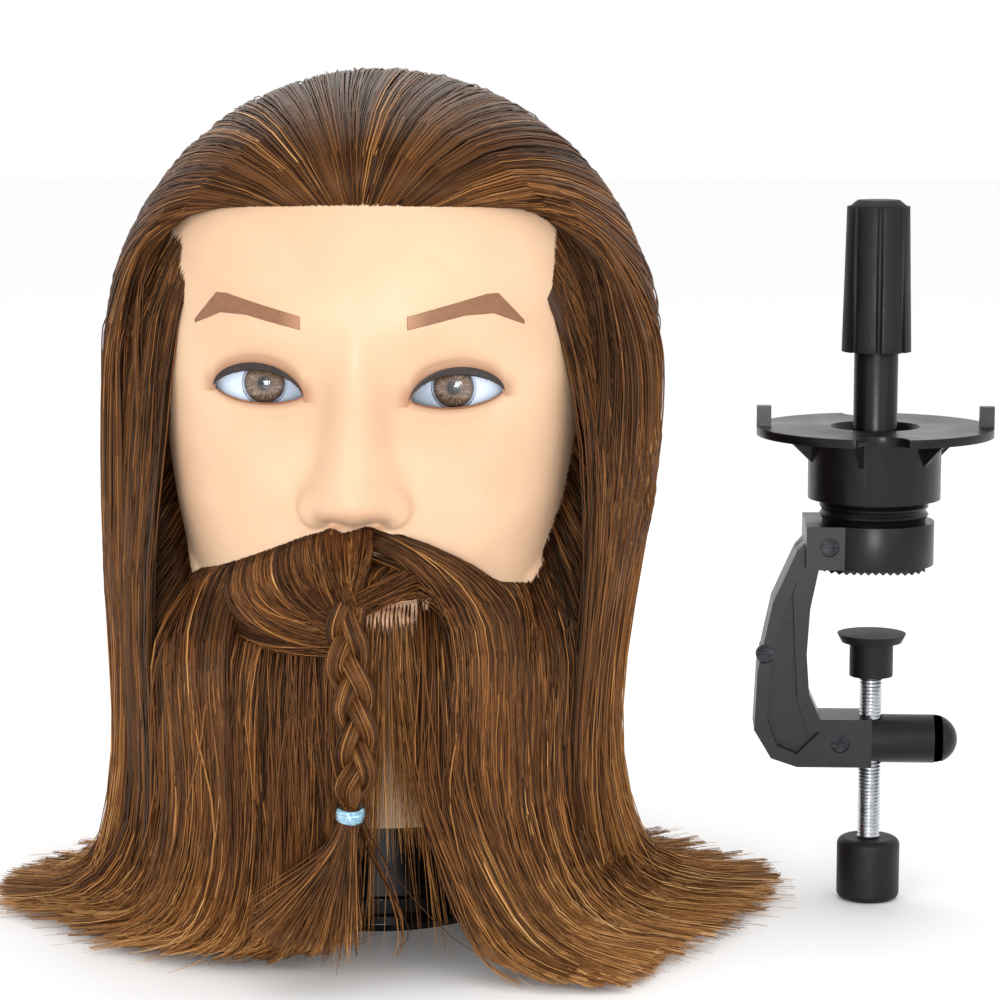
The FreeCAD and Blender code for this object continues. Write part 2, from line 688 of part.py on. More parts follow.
def make_frame_solid():
    back, inner = -mm("frame_back"), -mm("frame_inner")
    arm, jaw, top, width = mm("arm_height"), mm("jaw_bottom"), mm("jaw_top"), mm("frame_width")
    margin, recess = mm("flange_margin"), mm("web_recess")
    rim = 0.6
    outline = [(0, 0), (-26, 0), (-35, 3), (back, 13), (back + 1, 34), (back + 6, 58), (back + 14, 76),
               (-18, top), (0, top), (0, jaw), (inner, jaw), (inner - 3, 56), (inner - 4, 40),
               (inner - 3, 26), (inner + 1, arm), (0, arm)]
    beam = plate("frame_beam", outline, width)
    web = [(-26, margin), (-33, margin + 3), (back + margin, 17), (back + margin + 1, 36),
           (back + margin + 6, 57), (back + margin + 11, 68), (inner - 9, 62), (inner - 8, 40), (inner - 7, 24),
           (inner - 3, arm - margin), (-18, arm - margin)]
    recesses = [plate(f"web_recess_{s}", web, recess, s * (width - recess + rim) / 2, None)
                for s in (-1, 1)]
    along = Rotation(Vector(0, 1, 0), 90)
    nose = cylinder("frame_nose", size("nose_radius"), size("nose_reach") + 8, -8, 0,
                    size("arm_height") / 2, along)
    tip = sphere("frame_nose_tip", size("nose_radius") - 0.01, size("nose_reach"), 0, size("arm_height") / 2)
    tip_keep = cylinder("nose_tip_keep", size("nose_radius"), 3, size("nose_reach"), 0,
                        size("arm_height") / 2, along)
    jaw_plate = cylinder("jaw_round", size("jaw_radius"), size("jaw_top") - size("jaw_bottom"), 0, 0,
                         size("jaw_bottom"))
    jaw_root = box("jaw_root", 24, size("jaw_radius") * 2 - 6, size("jaw_top") - size("jaw_bottom"), -24,
                   -size("jaw_radius") + 3, size("jaw_bottom"))
    solid = fuse("frame_solid", beam, nose, common("nose_end", tip, tip_keep), jaw_plate, jaw_root)
    bore = cylinder("screw_bore", size("screw_bore"), size("arm_height") + 4, 0, 0, -2)
    pocket = prism("hex_pocket", (size("hex_nut_flat") + 0.2) / math.sqrt(3), size("hex_nut_height") + 0.2,
                   size("arm_height") / 2 - size("hex_nut_height") / 2 - 0.1)
    stub_seat = cylinder("stub_seat", size("stub_radius") - 4, 6, 0, 0, size("jaw_top") - 5)
    return cut("frame_whole", solid, bore, pocket, stub_seat, *recesses)


FRAME_SCREWS = [(-11, 8.5), (-37.5, 40), (-16, 79)]


def frame_depth(k):
    """Half the frame's thickness where a screw goes through it."""
    return (mm("frame_width") / 2, mm("frame_width") / 2, mm("jaw_radius") - 3)[k]


def make_clamp_frame():
    whole = make_frame_solid()
    bores = []
    for k, (x, z) in enumerate(FRAME_SCREWS):
        half = frame_depth(k)
        bores.append(cylinder(f"frame_bolt_bore_{k}", 1.6, 2 * half + 4, x, half + 2, z,
                              Rotation(Vector(1, 0, 0), 90)))
        bores.append(cylinder(f"frame_bolt_sink_{k}", size("frame_screw_radius") + size("fit_gap"), 6, x,
                              -half + 2.5, z, Rotation(Vector(1, 0, 0), 90)))
    drilled = cut("frame_drilled", whole, *bores)
    for s, word in ((-1, "front"), (1, "rear")):
        room = box(f"{word}_half_room", 140, 60, 140, -80, 0 if s > 0 else -60, -20)
        clamp_node(f"clamp_frame_{word}", common(f"clamp_frame_{word}", drilled, room))
    bolts = []
    for k, (x, z) in enumerate(FRAME_SCREWS):
        half = frame_depth(k)
        shank = cylinder(f"frame_bolt_shank_{k}", 1.5, 2 * half - 3.5, x, half - 1, z,
                         Rotation(Vector(1, 0, 0), 90))
        cap = cylinder(f"frame_bolt_cap_{k}", size("frame_screw_radius"), 1.5, x, -half + 2.5, z,
                       Rotation(Vector(1, 0, 0), 90))
        slot = box(f"frame_bolt_slot_{k}", size("frame_screw_radius") * 2, 0.8, 0.9,
                   x - mm("frame_screw_radius"), -half + 0.9, z - 0.45)
        bolts.append(cut(f"frame_bolt_{k}", fuse(f"frame_bolt_body_{k}", shank, cap), slot))
    clamp_node("frame_bolts", fuse("frame_bolts", *bolts))


make_clamp_frame()


def make_jaw_pad():
    top, low = mm("jaw_bottom"), mm("jaw_bottom") - mm("pad_thickness")
    pitch, depth = mm("tooth_pitch"), mm("tooth_depth")
    start, count = -17.5, 14
    outline = [(start, top - 0.05)]
    for k in range(count):
        outline += [(start + k * pitch, low), (start + (k + 0.5) * pitch, low + depth)]
    outline += [(start + count * pitch, low), (start + count * pitch, top - 0.05)]
    teeth = plate("jaw_teeth", outline, 2 * mm("jaw_radius") - 10)
    disc = cylinder("jaw_pad_room", size("jaw_radius") - 1.5, 4, 0, 0, size("jaw_bottom") - 3)
    return common("jaw_pad", teeth, disc)


clamp_node("jaw_pad", make_jaw_pad())


def thread_outline(radius, depth, pitch, low, high):
    """The saw-toothed side of a thread, drawn as rings, from low to high."""
    count = int(round((high - low) / pitch))
    points = []
    for k in range(count):
        base = low + (high - low) * k / count
        points += [(radius - depth, base), (radius, base + pitch / 2)]
    return points + [(radius - depth, high)]


def turned(name, corners):
    """A solid turned about Z from plain (radius, height) corners."""
    points = [Vector(r, 0, z) for r, z in corners]
    face = Part.Face(Part.makePolygon(points + points[:1]))
    return feature(name, face.revolve(Vector(0, 0, 0), Vector(0, 0, 1), 360))


def make_stub():
    top, radius = mm("stub_top"), mm("stub_radius")
    side = thread_outline(radius, mm("thread_depth"), mm("stub_pitch"), mm("jaw_top") + 1, top)
    low = mm("jaw_top") - 4.9
    body = turned("stub_body", [(0, low), (radius - 4.1, low), (radius - 4.1, mm("jaw_top") + 0.1),
                                (radius - 1, mm("jaw_top") + 0.1)] + side + [(0, top)])
    ball_room = sphere("stub_ball_room", size("ball_radius") + size("ball_seat_gap"), 0, 0, size("ball_height"))
    return cut("stub", body, ball_room)


clamp_node("threaded_stub", make_stub())


def make_lock_nut():
    cup = cylinder("nut_cup", size("nut_radius"), size("nut_top") - size("nut_bottom"), 0, 0, size("nut_bottom"))
    disc = cylinder("nut_disc", size("disc_radius"), size("disc_thickness"), 0, 0, size("nut_top"))
    gussets = []
    for k in range(6):
        turn = Rotation(Vector(0, 0, 1), 60.0 * k + 15)
        wedge = Part.Face(Part.makePolygon([Vector(mm("nut_radius") - 1, -0.8, mm("nut_top") - 10),
                                            Vector(mm("disc_radius") - 8, -0.8, mm("nut_top") + 0.5),
                                            Vector(mm("nut_radius") - 1, -0.8, mm("nut_top") + 0.5),
                                            Vector(mm("nut_radius") - 1, -0.8, mm("nut_top") - 10)]))
        solid = wedge.extrude(Vector(0, 1.6, 0))
        solid.Placement = Placement(Vector(), turn)
        gussets.append(feature(f"nut_gusset_{k}", solid))
    wings = []
    for k in range(2):
        turn = Rotation(Vector(0, 0, 1), 180.0 * k)
        spot = turn.multVec(Vector(mm("disc_radius") - 5, -2, 0))
        wings.append(place(box(f"nut_wing_{k}", 5, 4, size("wing_reach") + 1), spot.x, spot.y,
                           size("nut_top") + size("disc_thickness") - 1, turn))
    bore = cylinder("nut_bore_room", size("nut_bore"), size("stub_top") + 0.6 - size("nut_bottom") + 1, 0, 0,
                    size("nut_bottom") - 1)
    ball_room = sphere("nut_ball_room", size("ball_radius") + size("ball_seat_gap"), 0, 0, size("ball_height"))
    mouth = cone("nut_mouth_room", size("nut_mouth"), size("nut_mouth") + 4.6, 14, 0, 0, size("ball_height") + 3)
    notches = []
    for k in range(2):
        turn = Rotation(Vector(0, 0, 1), 90 + 180.0 * k)
        spot = turn.multVec(Vector(mm("disc_radius") - 1, 0, 0))
        notches.append(cylinder(f"disc_notch_{k}", 9, 12, spot.x, spot.y, size("nut_top") - 4))
    return cut("nut", fuse("nut_solid", cup, disc, *gussets, *wings), bore, ball_room, mouth, *notches)


clamp_node("lock_nut", make_lock_nut())


def make_post():
    ball = sphere("post_ball", size("ball_radius"), 0, 0, size("ball_height"))
    shaft = cylinder("post_shaft", size("shaft_radius"), size("sleeve_bottom") - size("ball_height"), 0, 0,
                     size("ball_height"))
    core_rod = cylinder("post_core_rod", size("post_core"), size("sleeve_top") - size("sleeve_bottom") - 4, 0, 0,
                        size("sleeve_bottom"))
    return fuse("post", ball, shaft, core_rod)


clamp_node("ball_post", make_post())


def make_sleeve():
    height = size("sleeve_top") - size("sleeve_bottom")
    body = cone("sleeve_body", size("sleeve_low_radius"), size("sleeve_high_radius"), height, 0, 0,
                size("sleeve_bottom") + 0.1)
    core_room = cylinder("sleeve_core_room", size("post_core") + size("fit_gap"), height + 2, 0, 0,
                         size("sleeve_bottom") - 1)
    flutes = []
    for k in range(int(mm("flute_count"))):
        turn = Rotation(Vector(0, 0, 1), 360.0 * k / mm("flute_count"))
        spot = turn.multVec(Vector(mm("sleeve_low_radius") - 0.6, 0, 0))
        flutes.append(cylinder(f"flute_{k}", size("flute_radius"), height + 4, spot.x, spot.y,
                               size("sleeve_bottom") - 2))
    return cut("sleeve", body, core_room, *flutes)


clamp_node("post_sleeve", make_sleeve())
plug_low = size("sleeve_top") - 3.8
clamp_node("sleeve_plug", fuse(
    "sleeve_plug",
    cylinder("plug_stem", size("post_core"), 4.4, 0, 0, plug_low),
    cone("plug_cap", size("sleeve_high_radius") - 1, size("sleeve_high_radius") - 3.5, 2, 0, 0,
         size("sleeve_top") + 0.2)))


def make_screw():
    low = mm("knob_bottom") + mm("knob_height") - 12
    high = mm("pad_face") - 3.5
    side = thread_outline(mm("screw_radius"), mm("screw_thread"), mm("screw_pitch"), low + 12, high - 6)
    neck = mm("screw_radius") - mm("screw_thread")
    return turned("screw", [(0, low), (neck, low)] + side
                  + [(neck, high - 5.0), (neck - 1, high - 4.5), (neck - 1, high - 3), (neck, high - 2.5),
                     (neck, high - 1), (neck - 1, high), (0, high)])


clamp_node("clamp_screw", make_screw())


def make_knob():
    body = revolved("knob_body", [
        (0, size("knob_bottom")), (size("knob_radius"), size("knob_bottom")),
        (size("knob_radius"), size("knob_bottom") + size("knob_height")),
        (0, size("knob_bottom") + size("knob_height")),
    ])
    rounded(body, 2.6, (size("knob_radius"), size("knob_bottom")),
            (size("knob_radius"), size("knob_bottom") + size("knob_height")))
    hole_radius = size("screw_radius") - size("screw_thread")
    hole = cylinder("knob_hole", hole_radius, 13, 0, 0, size("knob_bottom") + size("knob_height") - 12)
    dish = cylinder("knob_dish", size("knob_radius") - 3.5, 1.6, 0, 0, size("knob_bottom") - 1)
    return cut("knob", body, hole, dish)


clamp_node("clamp_knob", make_knob())


def make_pressure_pad():
    cup_low = size("pad_face") - size("pad_cup_height") - size("pad_disc_thickness")
    cup = cylinder("pad_cup", size("pad_cup_radius"), size("pad_cup_height") + 0.5, 0, 0, cup_low)
    disc = cone("pad_disc", size("pad_disc_radius") - 1.5, size("pad_disc_radius"), size("pad_disc_thickness"),
                0, 0, size("pad_face") - size("pad_disc_thickness"))
    room = cylinder("pad_room", size("screw_radius") + 0.15, size("pad_cup_height"), 0, 0,
                    cup_low + 0.5)
    mouth = cylinder("pad_mouth", size("screw_radius") + 0.15, 3, 0, 0, cup_low - 1)
    return cut("pad", fuse("pad_body", cup, disc), room, mouth)


clamp_node("pressure_pad", make_pressure_pad())

hex_low = size("arm_height") / 2 - size("hex_nut_height") / 2
hexagon = prism("hex_nut_body", size("hex_nut_flat") / math.sqrt(3), size("hex_nut_height"), hex_low)
hex_hole = cylinder("hex_nut_hole", size("screw_radius") + 0.08, size("hex_nut_height") + 2, 0, 0, hex_low - 1)
clamp_node("hex_nut", cut("hex_nut", hexagon, hex_hole))

# ---------------------------------------------------------------- check and write

doc.recompute()
for item in doc.Objects:
    if "Invalid" in item.State or "Error" in item.State:
        raise SystemExit(f"{item.Name} ({item.Label}) failed: {item.State}")

os.makedirs("parts", exist_ok=True)
for item in parts:
    shape = item.Shape
    if shape.isNull() or not shape.isValid() or not shape.Solids:
        raise SystemExit(f"{item.Label} has no valid solid")
    shape.exportStep(f"parts/{item.Label}.step")
    print(f"{item.Label}: {len(shape.Solids)} solid(s), {shape.Volume / 1000:.2f} cm3")
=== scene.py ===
import math

import bpy
import numpy as np
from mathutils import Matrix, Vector


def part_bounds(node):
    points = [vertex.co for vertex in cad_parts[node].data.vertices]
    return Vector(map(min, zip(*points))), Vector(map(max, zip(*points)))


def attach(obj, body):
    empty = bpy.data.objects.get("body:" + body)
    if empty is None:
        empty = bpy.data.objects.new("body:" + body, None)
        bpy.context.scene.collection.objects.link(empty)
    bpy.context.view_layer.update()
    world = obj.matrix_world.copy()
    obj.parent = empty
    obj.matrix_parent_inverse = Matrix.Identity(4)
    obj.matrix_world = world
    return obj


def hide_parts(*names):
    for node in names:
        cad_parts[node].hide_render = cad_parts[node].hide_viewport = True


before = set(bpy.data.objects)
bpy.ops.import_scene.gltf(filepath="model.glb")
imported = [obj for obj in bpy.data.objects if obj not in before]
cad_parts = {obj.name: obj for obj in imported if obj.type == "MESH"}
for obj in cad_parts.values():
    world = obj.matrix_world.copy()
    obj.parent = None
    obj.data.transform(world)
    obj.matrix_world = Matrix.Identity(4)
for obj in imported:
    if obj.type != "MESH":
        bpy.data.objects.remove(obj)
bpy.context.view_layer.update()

# Lengths below are millimetres in the frame's axes: X to the wearer's left, the face towards -Y, Z up.
MM = 0.001
rng = np.random.default_rng(424)
SIDES = ((-1, "right"), (1, "left"))


def part_box(node):
    """A CAD node's corners in millimetres."""
    low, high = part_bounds(node)
    return np.array(low) / MM, np.array(high) / MM


# ---------------------------------------------------------------- small tools


def through(levels, at):
    """A smooth curve through given (position, value) levels."""
    xs, ys = np.array(levels, float).T
    at = np.clip(at, xs[0], xs[-1])
    slope = np.gradient(ys, xs)
    i = np.clip(np.searchsorted(xs, at) - 1, 0, len(xs) - 2)
    step = xs[i + 1] - xs[i]
    t = (at - xs[i]) / step
    return (
        (1 + 2 * t) * (1 - t) ** 2 * ys[i]
        + t * (1 - t) ** 2 * step * slope[i]
        + t * t * (3 - 2 * t) * ys[i + 1]
        + t * t * (t - 1) * step * slope[i + 1]
    )


def ease(low, high, at):
    """0 below low, 1 above high, smooth between."""
    t = np.clip((at - low) / (high - low), 0, 1)
    return t * t * (3 - 2 * t)


def mix(a, b, t):
    return a + (b - a) * t


def merge(a, b, soft):
    """The higher of two reliefs, with a rounded join."""
    return (a + b + np.sqrt((a - b) ** 2 + soft**2)) / 2


def hill(x, z, at_x, at_z, wide, tall):
    """A soft bump of height 1."""
    return np.exp(-(((x - at_x) / wide) ** 2 + ((z - at_z) / tall) ** 2) / 2)


def bulb(x, z, at_x, at_z, forward, wide, tall, deep, fall=2.0):
    """An ellipsoid's front, which falls away steeply beyond its outline."""
    room = 1 - ((x - at_x) / wide) ** 2 - ((z - at_z) / tall) ** 2
    root = np.sqrt(np.abs(room))
    return forward + deep * np.where(room > 0, root, -fall * root)


def bezier(a, b, c, d, t):
    """Cubic curves from a to d with handles b and c: a row of points for each."""
    a, b, c, d = (v[:, None] for v in (a, b, c, d))
    t = t.reshape((1, -1) + (1,) * (a.ndim - 2))
    return (1 - t) ** 3 * a + 3 * (1 - t) ** 2 * t * b + 3 * (1 - t) * t**2 * c + t**3 * d


def unit(v):
    return v / np.maximum(np.linalg.norm(v, axis=-1, keepdims=True), 1e-9)


def srgb(red, green, blue):
    """A colour given as the eye reads it, 0 to 255, for a shader's socket."""
    c = np.array([red, green, blue]) / 255
    linear = np.where(c <= 0.04045, c / 12.92, ((c + 0.055) / 1.055) ** 2.4)
    return (*[float(v) for v in linear], 1.0)


def build(name, points, faces, materials, body="head", slot_index=None, replaces=(), slot=None, uv=None):
    """One mesh piece from points in millimetres and arrays of quads or triangles."""
    groups = [np.asarray(g, np.int64) for g in (faces if isinstance(faces, list) else [faces]) if len(g)]
    corners = np.concatenate([g.ravel() for g in groups])
    counts = np.concatenate([np.full(len(g), g.shape[1]) for g in groups])
    mesh = bpy.data.meshes.new(name)
    mesh.vertices.add(len(points))
    mesh.vertices.foreach_set("co", (np.asarray(points, float) * MM).ravel())
    mesh.loops.add(len(corners))
    mesh.loops.foreach_set("vertex_index", corners.astype(np.int32))
    mesh.polygons.add(len(counts))
    mesh.polygons.foreach_set("loop_start", (np.cumsum(counts) - counts).astype(np.int32))
    for material in materials:
        mesh.materials.append(material)
    if slot_index is not None:
        mesh.polygons.foreach_set("material_index", np.asarray(slot_index, np.int32))
    if uv is not None:
        layer = mesh.uv_layers.new(name="UVMap")
        layer.data.foreach_set("uv", np.asarray(uv, np.float32)[corners].ravel())
    mesh.update(calc_edges=True)
    mesh.validate()
    mesh.shade_smooth()
    obj = bpy.data.objects.new(name, mesh)
    bpy.context.collection.objects.link(obj)
    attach(obj, body)
    if replaces:
        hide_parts(*replaces)
    return obj


def point_layer(obj, name, values):
    """Numbers on a mesh's points, which a material reads by name."""
    layer = obj.data.attributes.new(name, "FLOAT", "POINT")
    layer.data.foreach_set("value", np.asarray(values, np.float32))


def grid_faces(rows, columns, closed=False):
    """Quads of a rows x columns sheet of points; closed joins its last column to its first."""
    r, c = np.meshgrid(np.arange(rows - 1), np.arange(columns if closed else columns - 1), indexing="ij")
    n = (c + 1) % columns
    quad = [r * columns + c, r * columns + n, (r + 1) * columns + n, (r + 1) * columns + c]
    return np.stack([q.ravel() for q in quad], 1)


# ---------------------------------------------------------------- materials


class Shader:
    """A small wrapper that makes node materials short to write."""

    def __init__(self, name):
        self.material = bpy.data.materials.new(name)
        self.material.use_nodes = True
        self.tree = self.material.node_tree
        self.main = self.tree.nodes["Principled BSDF"]

    def node(self, kind, settings=None, **inputs):
        made = self.tree.nodes.new(kind)
        for key, value in (settings or {}).items():
            setattr(made, key, value)
        for key, value in inputs.items():
            self.put(made, key.replace("_", " "), value)
        return made

    def put(self, node, socket, value):
        target = node.inputs[socket]
        if isinstance(value, bpy.types.NodeSocket):
            self.tree.links.new(value, target)
        else:
            target.default_value = value

    def set(self, **inputs):
        for key, value in inputs.items():
            self.put(self.main, key.replace("_", " "), value)

    def noise(self, scale, detail=3.0, roughness=0.55, stretch=(1, 1, 1), space="Object"):
        """Noise in the object's own space, finer or coarser along each axis."""
        where = self.node("ShaderNodeTexCoord").outputs[space]
        mapping = self.node("ShaderNodeMapping", Vector=where, Scale=stretch)
        return self.noise_at(mapping.outputs[0], scale, detail, roughness)

    def noise_at(self, where, scale, detail, roughness):
        return self.node("ShaderNodeTexNoise", Vector=where, Scale=scale, Detail=detail,
                         Roughness=roughness).outputs["Fac"]

    def ramp(self, value, *stops):
        """Maps 0..1 to colours: stops are (position, colour)."""
        made = self.node("ShaderNodeValToRGB", Fac=value)
        elements = made.color_ramp.elements
        while len(elements) < len(stops):
            elements.new(0.5)
        for element, (position, colour) in zip(elements, stops):
            element.position, element.color = position, srgb(*colour)
        return made.outputs["Color"]

    def range(self, value, low, high, from_low=0.3, from_high=0.7):
        made = self.node("ShaderNodeMapRange", Value=value, From_Min=from_low, From_Max=from_high,
                         To_Min=low, To_Max=high)
        return made.outputs[0]

    def blend(self, factor, a, b):
        made = self.node("ShaderNodeMix", {"data_type": "RGBA"})
        for index, value in ((0, factor), (6, a), (7, b)):
            self.put(made, index, value)
        return made.outputs[2]

    def attribute(self, name):
        return self.node("ShaderNodeAttribute", {"attribute_name": name}).outputs["Fac"]

    def bump(self, height, distance, strength):
        made = self.node("ShaderNodeBump", Height=height, Distance=distance * MM, Strength=strength)
        self.set(Normal=made.outputs[0])


def skin_vinyl():
    s = Shader("skin_vinyl")
    base = s.ramp(s.noise(28, 3, 0.6), (0.35, (208, 171, 139)), (0.65, (215, 180, 148)))
    base = s.blend(s.attribute("blush"), base, srgb(212, 148, 118))
    base = s.blend(s.attribute("eyeshade"), base, srgb(126, 78, 46))
    s.set(Base_Color=base, Roughness=s.range(s.noise(160, 3), 0.40, 0.52), Subsurface_Weight=0.22,
          Subsurface_Radius=(0.010, 0.005, 0.003), Subsurface_Scale=0.4, Specular_IOR_Level=0.42)
    s.bump(s.noise(1500, 2, 0.6), 0.05, 0.35)
    return s.material


def black_plastic(name, roughness_low, roughness_high, grain, grain_depth, tint=(9, 9, 10)):
    """Moulded black plastic: faint cloudy gloss, a fine grain, and greyer dust where it is rubbed."""
    s = Shader(name)
    cloud = s.noise(35, 4, 0.65)
    scuff = s.noise(220, 5, 0.75, (1, 1, 0.15))
    base = s.ramp(scuff, (0.55, tint), (0.9, tuple(v + 16 for v in tint)))
    s.set(Base_Color=base, Roughness=s.range(cloud, roughness_low, roughness_high), Specular_IOR_Level=0.28)
    s.bump(s.noise(grain, 2, 0.5), grain_depth, 0.6)
    return s.material


def steel(name):
    s = Shader(name)
    s.set(Base_Color=s.ramp(s.noise(400, 4, 0.7), (0.3, (186, 188, 192)), (0.75, (222, 224, 228))),
          Metallic=1.0, Roughness=s.range(s.noise(300, 3, 0.6, (1, 1, 0.1)), 0.2, 0.36))
    s.bump(s.noise(900, 2), 0.02, 0.4)
    return s.material


def hair_under():
    """The body of hair that shows between strands, streaked along the strands, kept dark as painted shade."""
    s = Shader("hair_under")
    streak = s.noise(1.0, 5, 0.7, (260, 2.2, 1), "UV")
    # painted shade: the tones are darker than the outer strands because they stand for the shade deep in the
    # hair
    tone = s.ramp(streak, (0.25, (30, 15, 7)), (0.55, (66, 38, 19)), (0.8, (112, 70, 38)))
    s.set(Base_Color=tone, Roughness=0.5, Specular_IOR_Level=0.35)
    s.bump(streak, 0.8, 0.8)
    return s.material


# From the shaded inner hair to the sunlit outer hair
HAIR_TONES = [(30, 15, 7), (45, 24, 11), (62, 35, 17), (81, 48, 24), (102, 63, 32), (127, 82, 43),
              (155, 105, 57), (182, 130, 76), (206, 156, 98), (224, 180, 124)]


def hair_shades():
    made = []
    for i, tone in enumerate(HAIR_TONES):
        s = Shader(f"hair_{i}")
        # painted sheen: strands near the top of the crown are blended towards grey by their height, a painted
        # highlight of the light from above
        where = s.node("ShaderNodeTexCoord").outputs["Object"]
        height = s.node("ShaderNodeSeparateXYZ", Vector=where).outputs[2]
        top = s.range(height, 0.0, 0.5, 0.268, 0.291)
        s.set(Base_Color=s.blend(top, srgb(*tone), srgb(150, 138, 130)), Specular_IOR_Level=0.28,
              Roughness=s.range(s.noise(60, 3, 0.6), 0.32, 0.46), Specular_Tint=srgb(255, 226, 190))
        made.append(s.material)
    return made


# ---------------------------------------------------------------- the head's form

# Skull outline: height, half width, how far the face and the back of the head stand from the axis
HEAD_LEVELS = np.array([
    (35, 37.5, 37, 38), (52, 39, 38, 41), (68, 41, 42, 45), (78, 46, 58, 49), (87, 51, 76, 54),
    (97, 56, 83, 59), (112, 61, 85, 66), (130, 64, 86, 75), (148, 67, 87, 83), (168, 70, 86, 90),
    (190, 73, 85, 95), (210, 75, 87, 97), (230, 75, 85, 95), (246, 70.5, 77, 86),
    (260, 60.5, 62, 72), (271, 47, 43, 54), (278, 33, 26, 35), (282, 14, 10, 15),
])
HALF_WIDTH, FRONT, BACK = (HEAD_LEVELS[:, [0, k]] for k in (1, 2, 3))
SQUARENESS = 2.25


def squareness(z):
    """The front of the head is squarer between the jaw and the temples."""
    return np.interp(z, [120, 150, 192, 214], [2.3, 2.65, 2.65, 2.25])


eye_low, eye_high = part_box("left_eye")
EYE_X = (eye_low[0] + eye_high[0]) / 2
EYE_Z = (eye_low[2] + eye_high[2]) / 2
EYE_BACK = 61.0
EYE_FORM = np.array([17.0, 12.5, 14.5])
LID = 1.3
LID_X, EYE_HALF = EYE_X + 0.6, 15.0


def eye_chord(side):
    """Height of the line between an eye's corners, from inner (-1) to outer (1)."""
    return EYE_Z - 1.9 + 1.2 * side


def lid_edges(x):
    """Heights of the upper and lower lids' edges at a distance from the face's centre line."""
    side = (np.abs(x) - LID_X) / EYE_HALF
    inside = np.clip(1 - side**2, 0, None)
    lift = 6.7 * inside**0.66 * (1 - 0.12 * side)
    fall = 3.7 * inside**0.74 * (1 + 0.10 * side)
    middle = eye_chord(side) - 0.6 * np.sign(x)
    return middle + lift, middle - fall


def eye_front(x, z, grow=0.0):
    """How far an eye's ball, grown by a lid's thickness, stands forward."""
    wide, deep, tall = EYE_FORM + grow
    return bulb(np.abs(x), z, EYE_X, EYE_Z, EYE_BACK, wide, tall, deep, 2.5)


# The nose: height and how far its ridge stands forward, then height and how round it is
NOSE_RIDGE = [(35, -60), (120, 30), (134, 68), (143, 82), (146.5, 88), (149, 97), (152, 102.5),
              (155.5, 104.5), (160, 103.5), (168, 99.5), (180, 94.3), (190, 90.6), (198, 88.6),
              (208, 86), (216, 79), (230, 60), (280, 0)]
NOSE_ROUND = [(143, 6), (150, 8.6), (156, 9.4), (164, 7.6), (178, 6.0), (196, 6.6), (216, 9)]


def face_forward(x, z, plain):
    """How far the face stands forward at each point, built up on the plain skull."""
    side = np.abs(x)
    # brow, eye socket, its inner corner, cheekbone and the fold beside the mouth
    f = plain + 1.6 * hill(side, z, 27, 212, 18, 7) - 7.0 * hill(side, z, 31, 190, 15, 10.5)
    f = f - 0.8 * hill(side, z, 15, 190, 5, 9) + 2.6 * hill(side, z, 44, 163, 15, 16)
    f = f - 1.6 * hill(side, z, 25, 146, 7, 10)
    # lids over the eyeball, with a crease above and a faint one below
    f = merge(f, eye_front(x, z, LID), 1.6)
    upper, lower = lid_edges(x)
    near = np.exp(-(((side - LID_X) / 13.5) ** 4))
    f = f - 0.8 * near * np.exp(-(((z - upper - 3.6 - 0.6 * near) / 0.8) ** 2))
    f = f - 0.35 * near * np.exp(-(((z - lower + 3.6) / 1.1) ** 2))
    # nose, its wings, nostrils and the groove down to the lip
    round_ = through(NOSE_ROUND, z)
    nose = through(NOSE_RIDGE, z) - 0.62 * round_ * (x / round_) ** 2
    f = merge(f, nose, 5.5)
    f = merge(f, bulb(side, z, 12.0, 152.8, 85.5, 6.4, 6.8, 7.0), 5.0)
    f = f - 5.0 * hill(side, z, 6.6, 147.4, 3.0, 1.5) - 0.7 * hill(side, z, 19.3, 154, 1.6, 5)
    f = f - 1.0 * hill(x, z, 0, 141, 2.6, 4)
    # lips, the line between them, the dip below and the chin
    f = merge(f, bulb(x, z, 0, 124.5, 84, 24, 4.6, 7.5), 1.4)
    f = merge(f, bulb(x, z, 0, 115.8, 84, 19, 5.2, 7.5), 1.4)
    f = f - 2.2 * np.exp(-(((z - 120.3) / 1.1) ** 2) - (side / 22) ** 4)
    f = f - 1.5 * hill(x, z, 0, 107, 14, 3.5)
    return merge(f, bulb(x, z, 0, 94, 66, 24, 17, 22.5), 4)


def with_face(x, z, plain, facing):
    """The face's relief on the plain skull, fading out where the skull turns away."""
    return mix(plain, face_forward(x, z, plain), ease(0.12, 0.55, facing))


def head_surface(angle, z):
    """Points of the skin at angles from straight ahead (radians) and heights."""
    across, along = np.sin(angle), np.cos(angle)
    ahead = along > 0
    power = 2 / np.where(ahead, squareness(z), SQUARENESS)
    x = through(HALF_WIDTH, z) * np.sign(across) * np.abs(across) ** power
    depth = np.where(ahead, through(FRONT, z), through(BACK, z))
    forward = depth * np.sign(along) * np.abs(along) ** power
    forward = np.where(ahead, with_face(x, z, forward, along), forward)
    return np.stack([x, -forward, z], -1)


def skin_at(x, z, lift=0.0):
    """Points on the front of the skin at given x and z, or that much above it."""
    room = np.clip(1 - np.abs(x / through(HALF_WIDTH, z)) ** squareness(z), 0.02, 1)
    plain = through(FRONT, z) * room ** (1 / squareness(z))
    return np.stack([x, -with_face(x, z, plain, room**0.5) - lift, z], -1)


# Rows of the skin's mesh over the face: from and to which height, and how many
FACE_LOW, FACE_HIGH, FACE_ROWS = 80, 252, 266


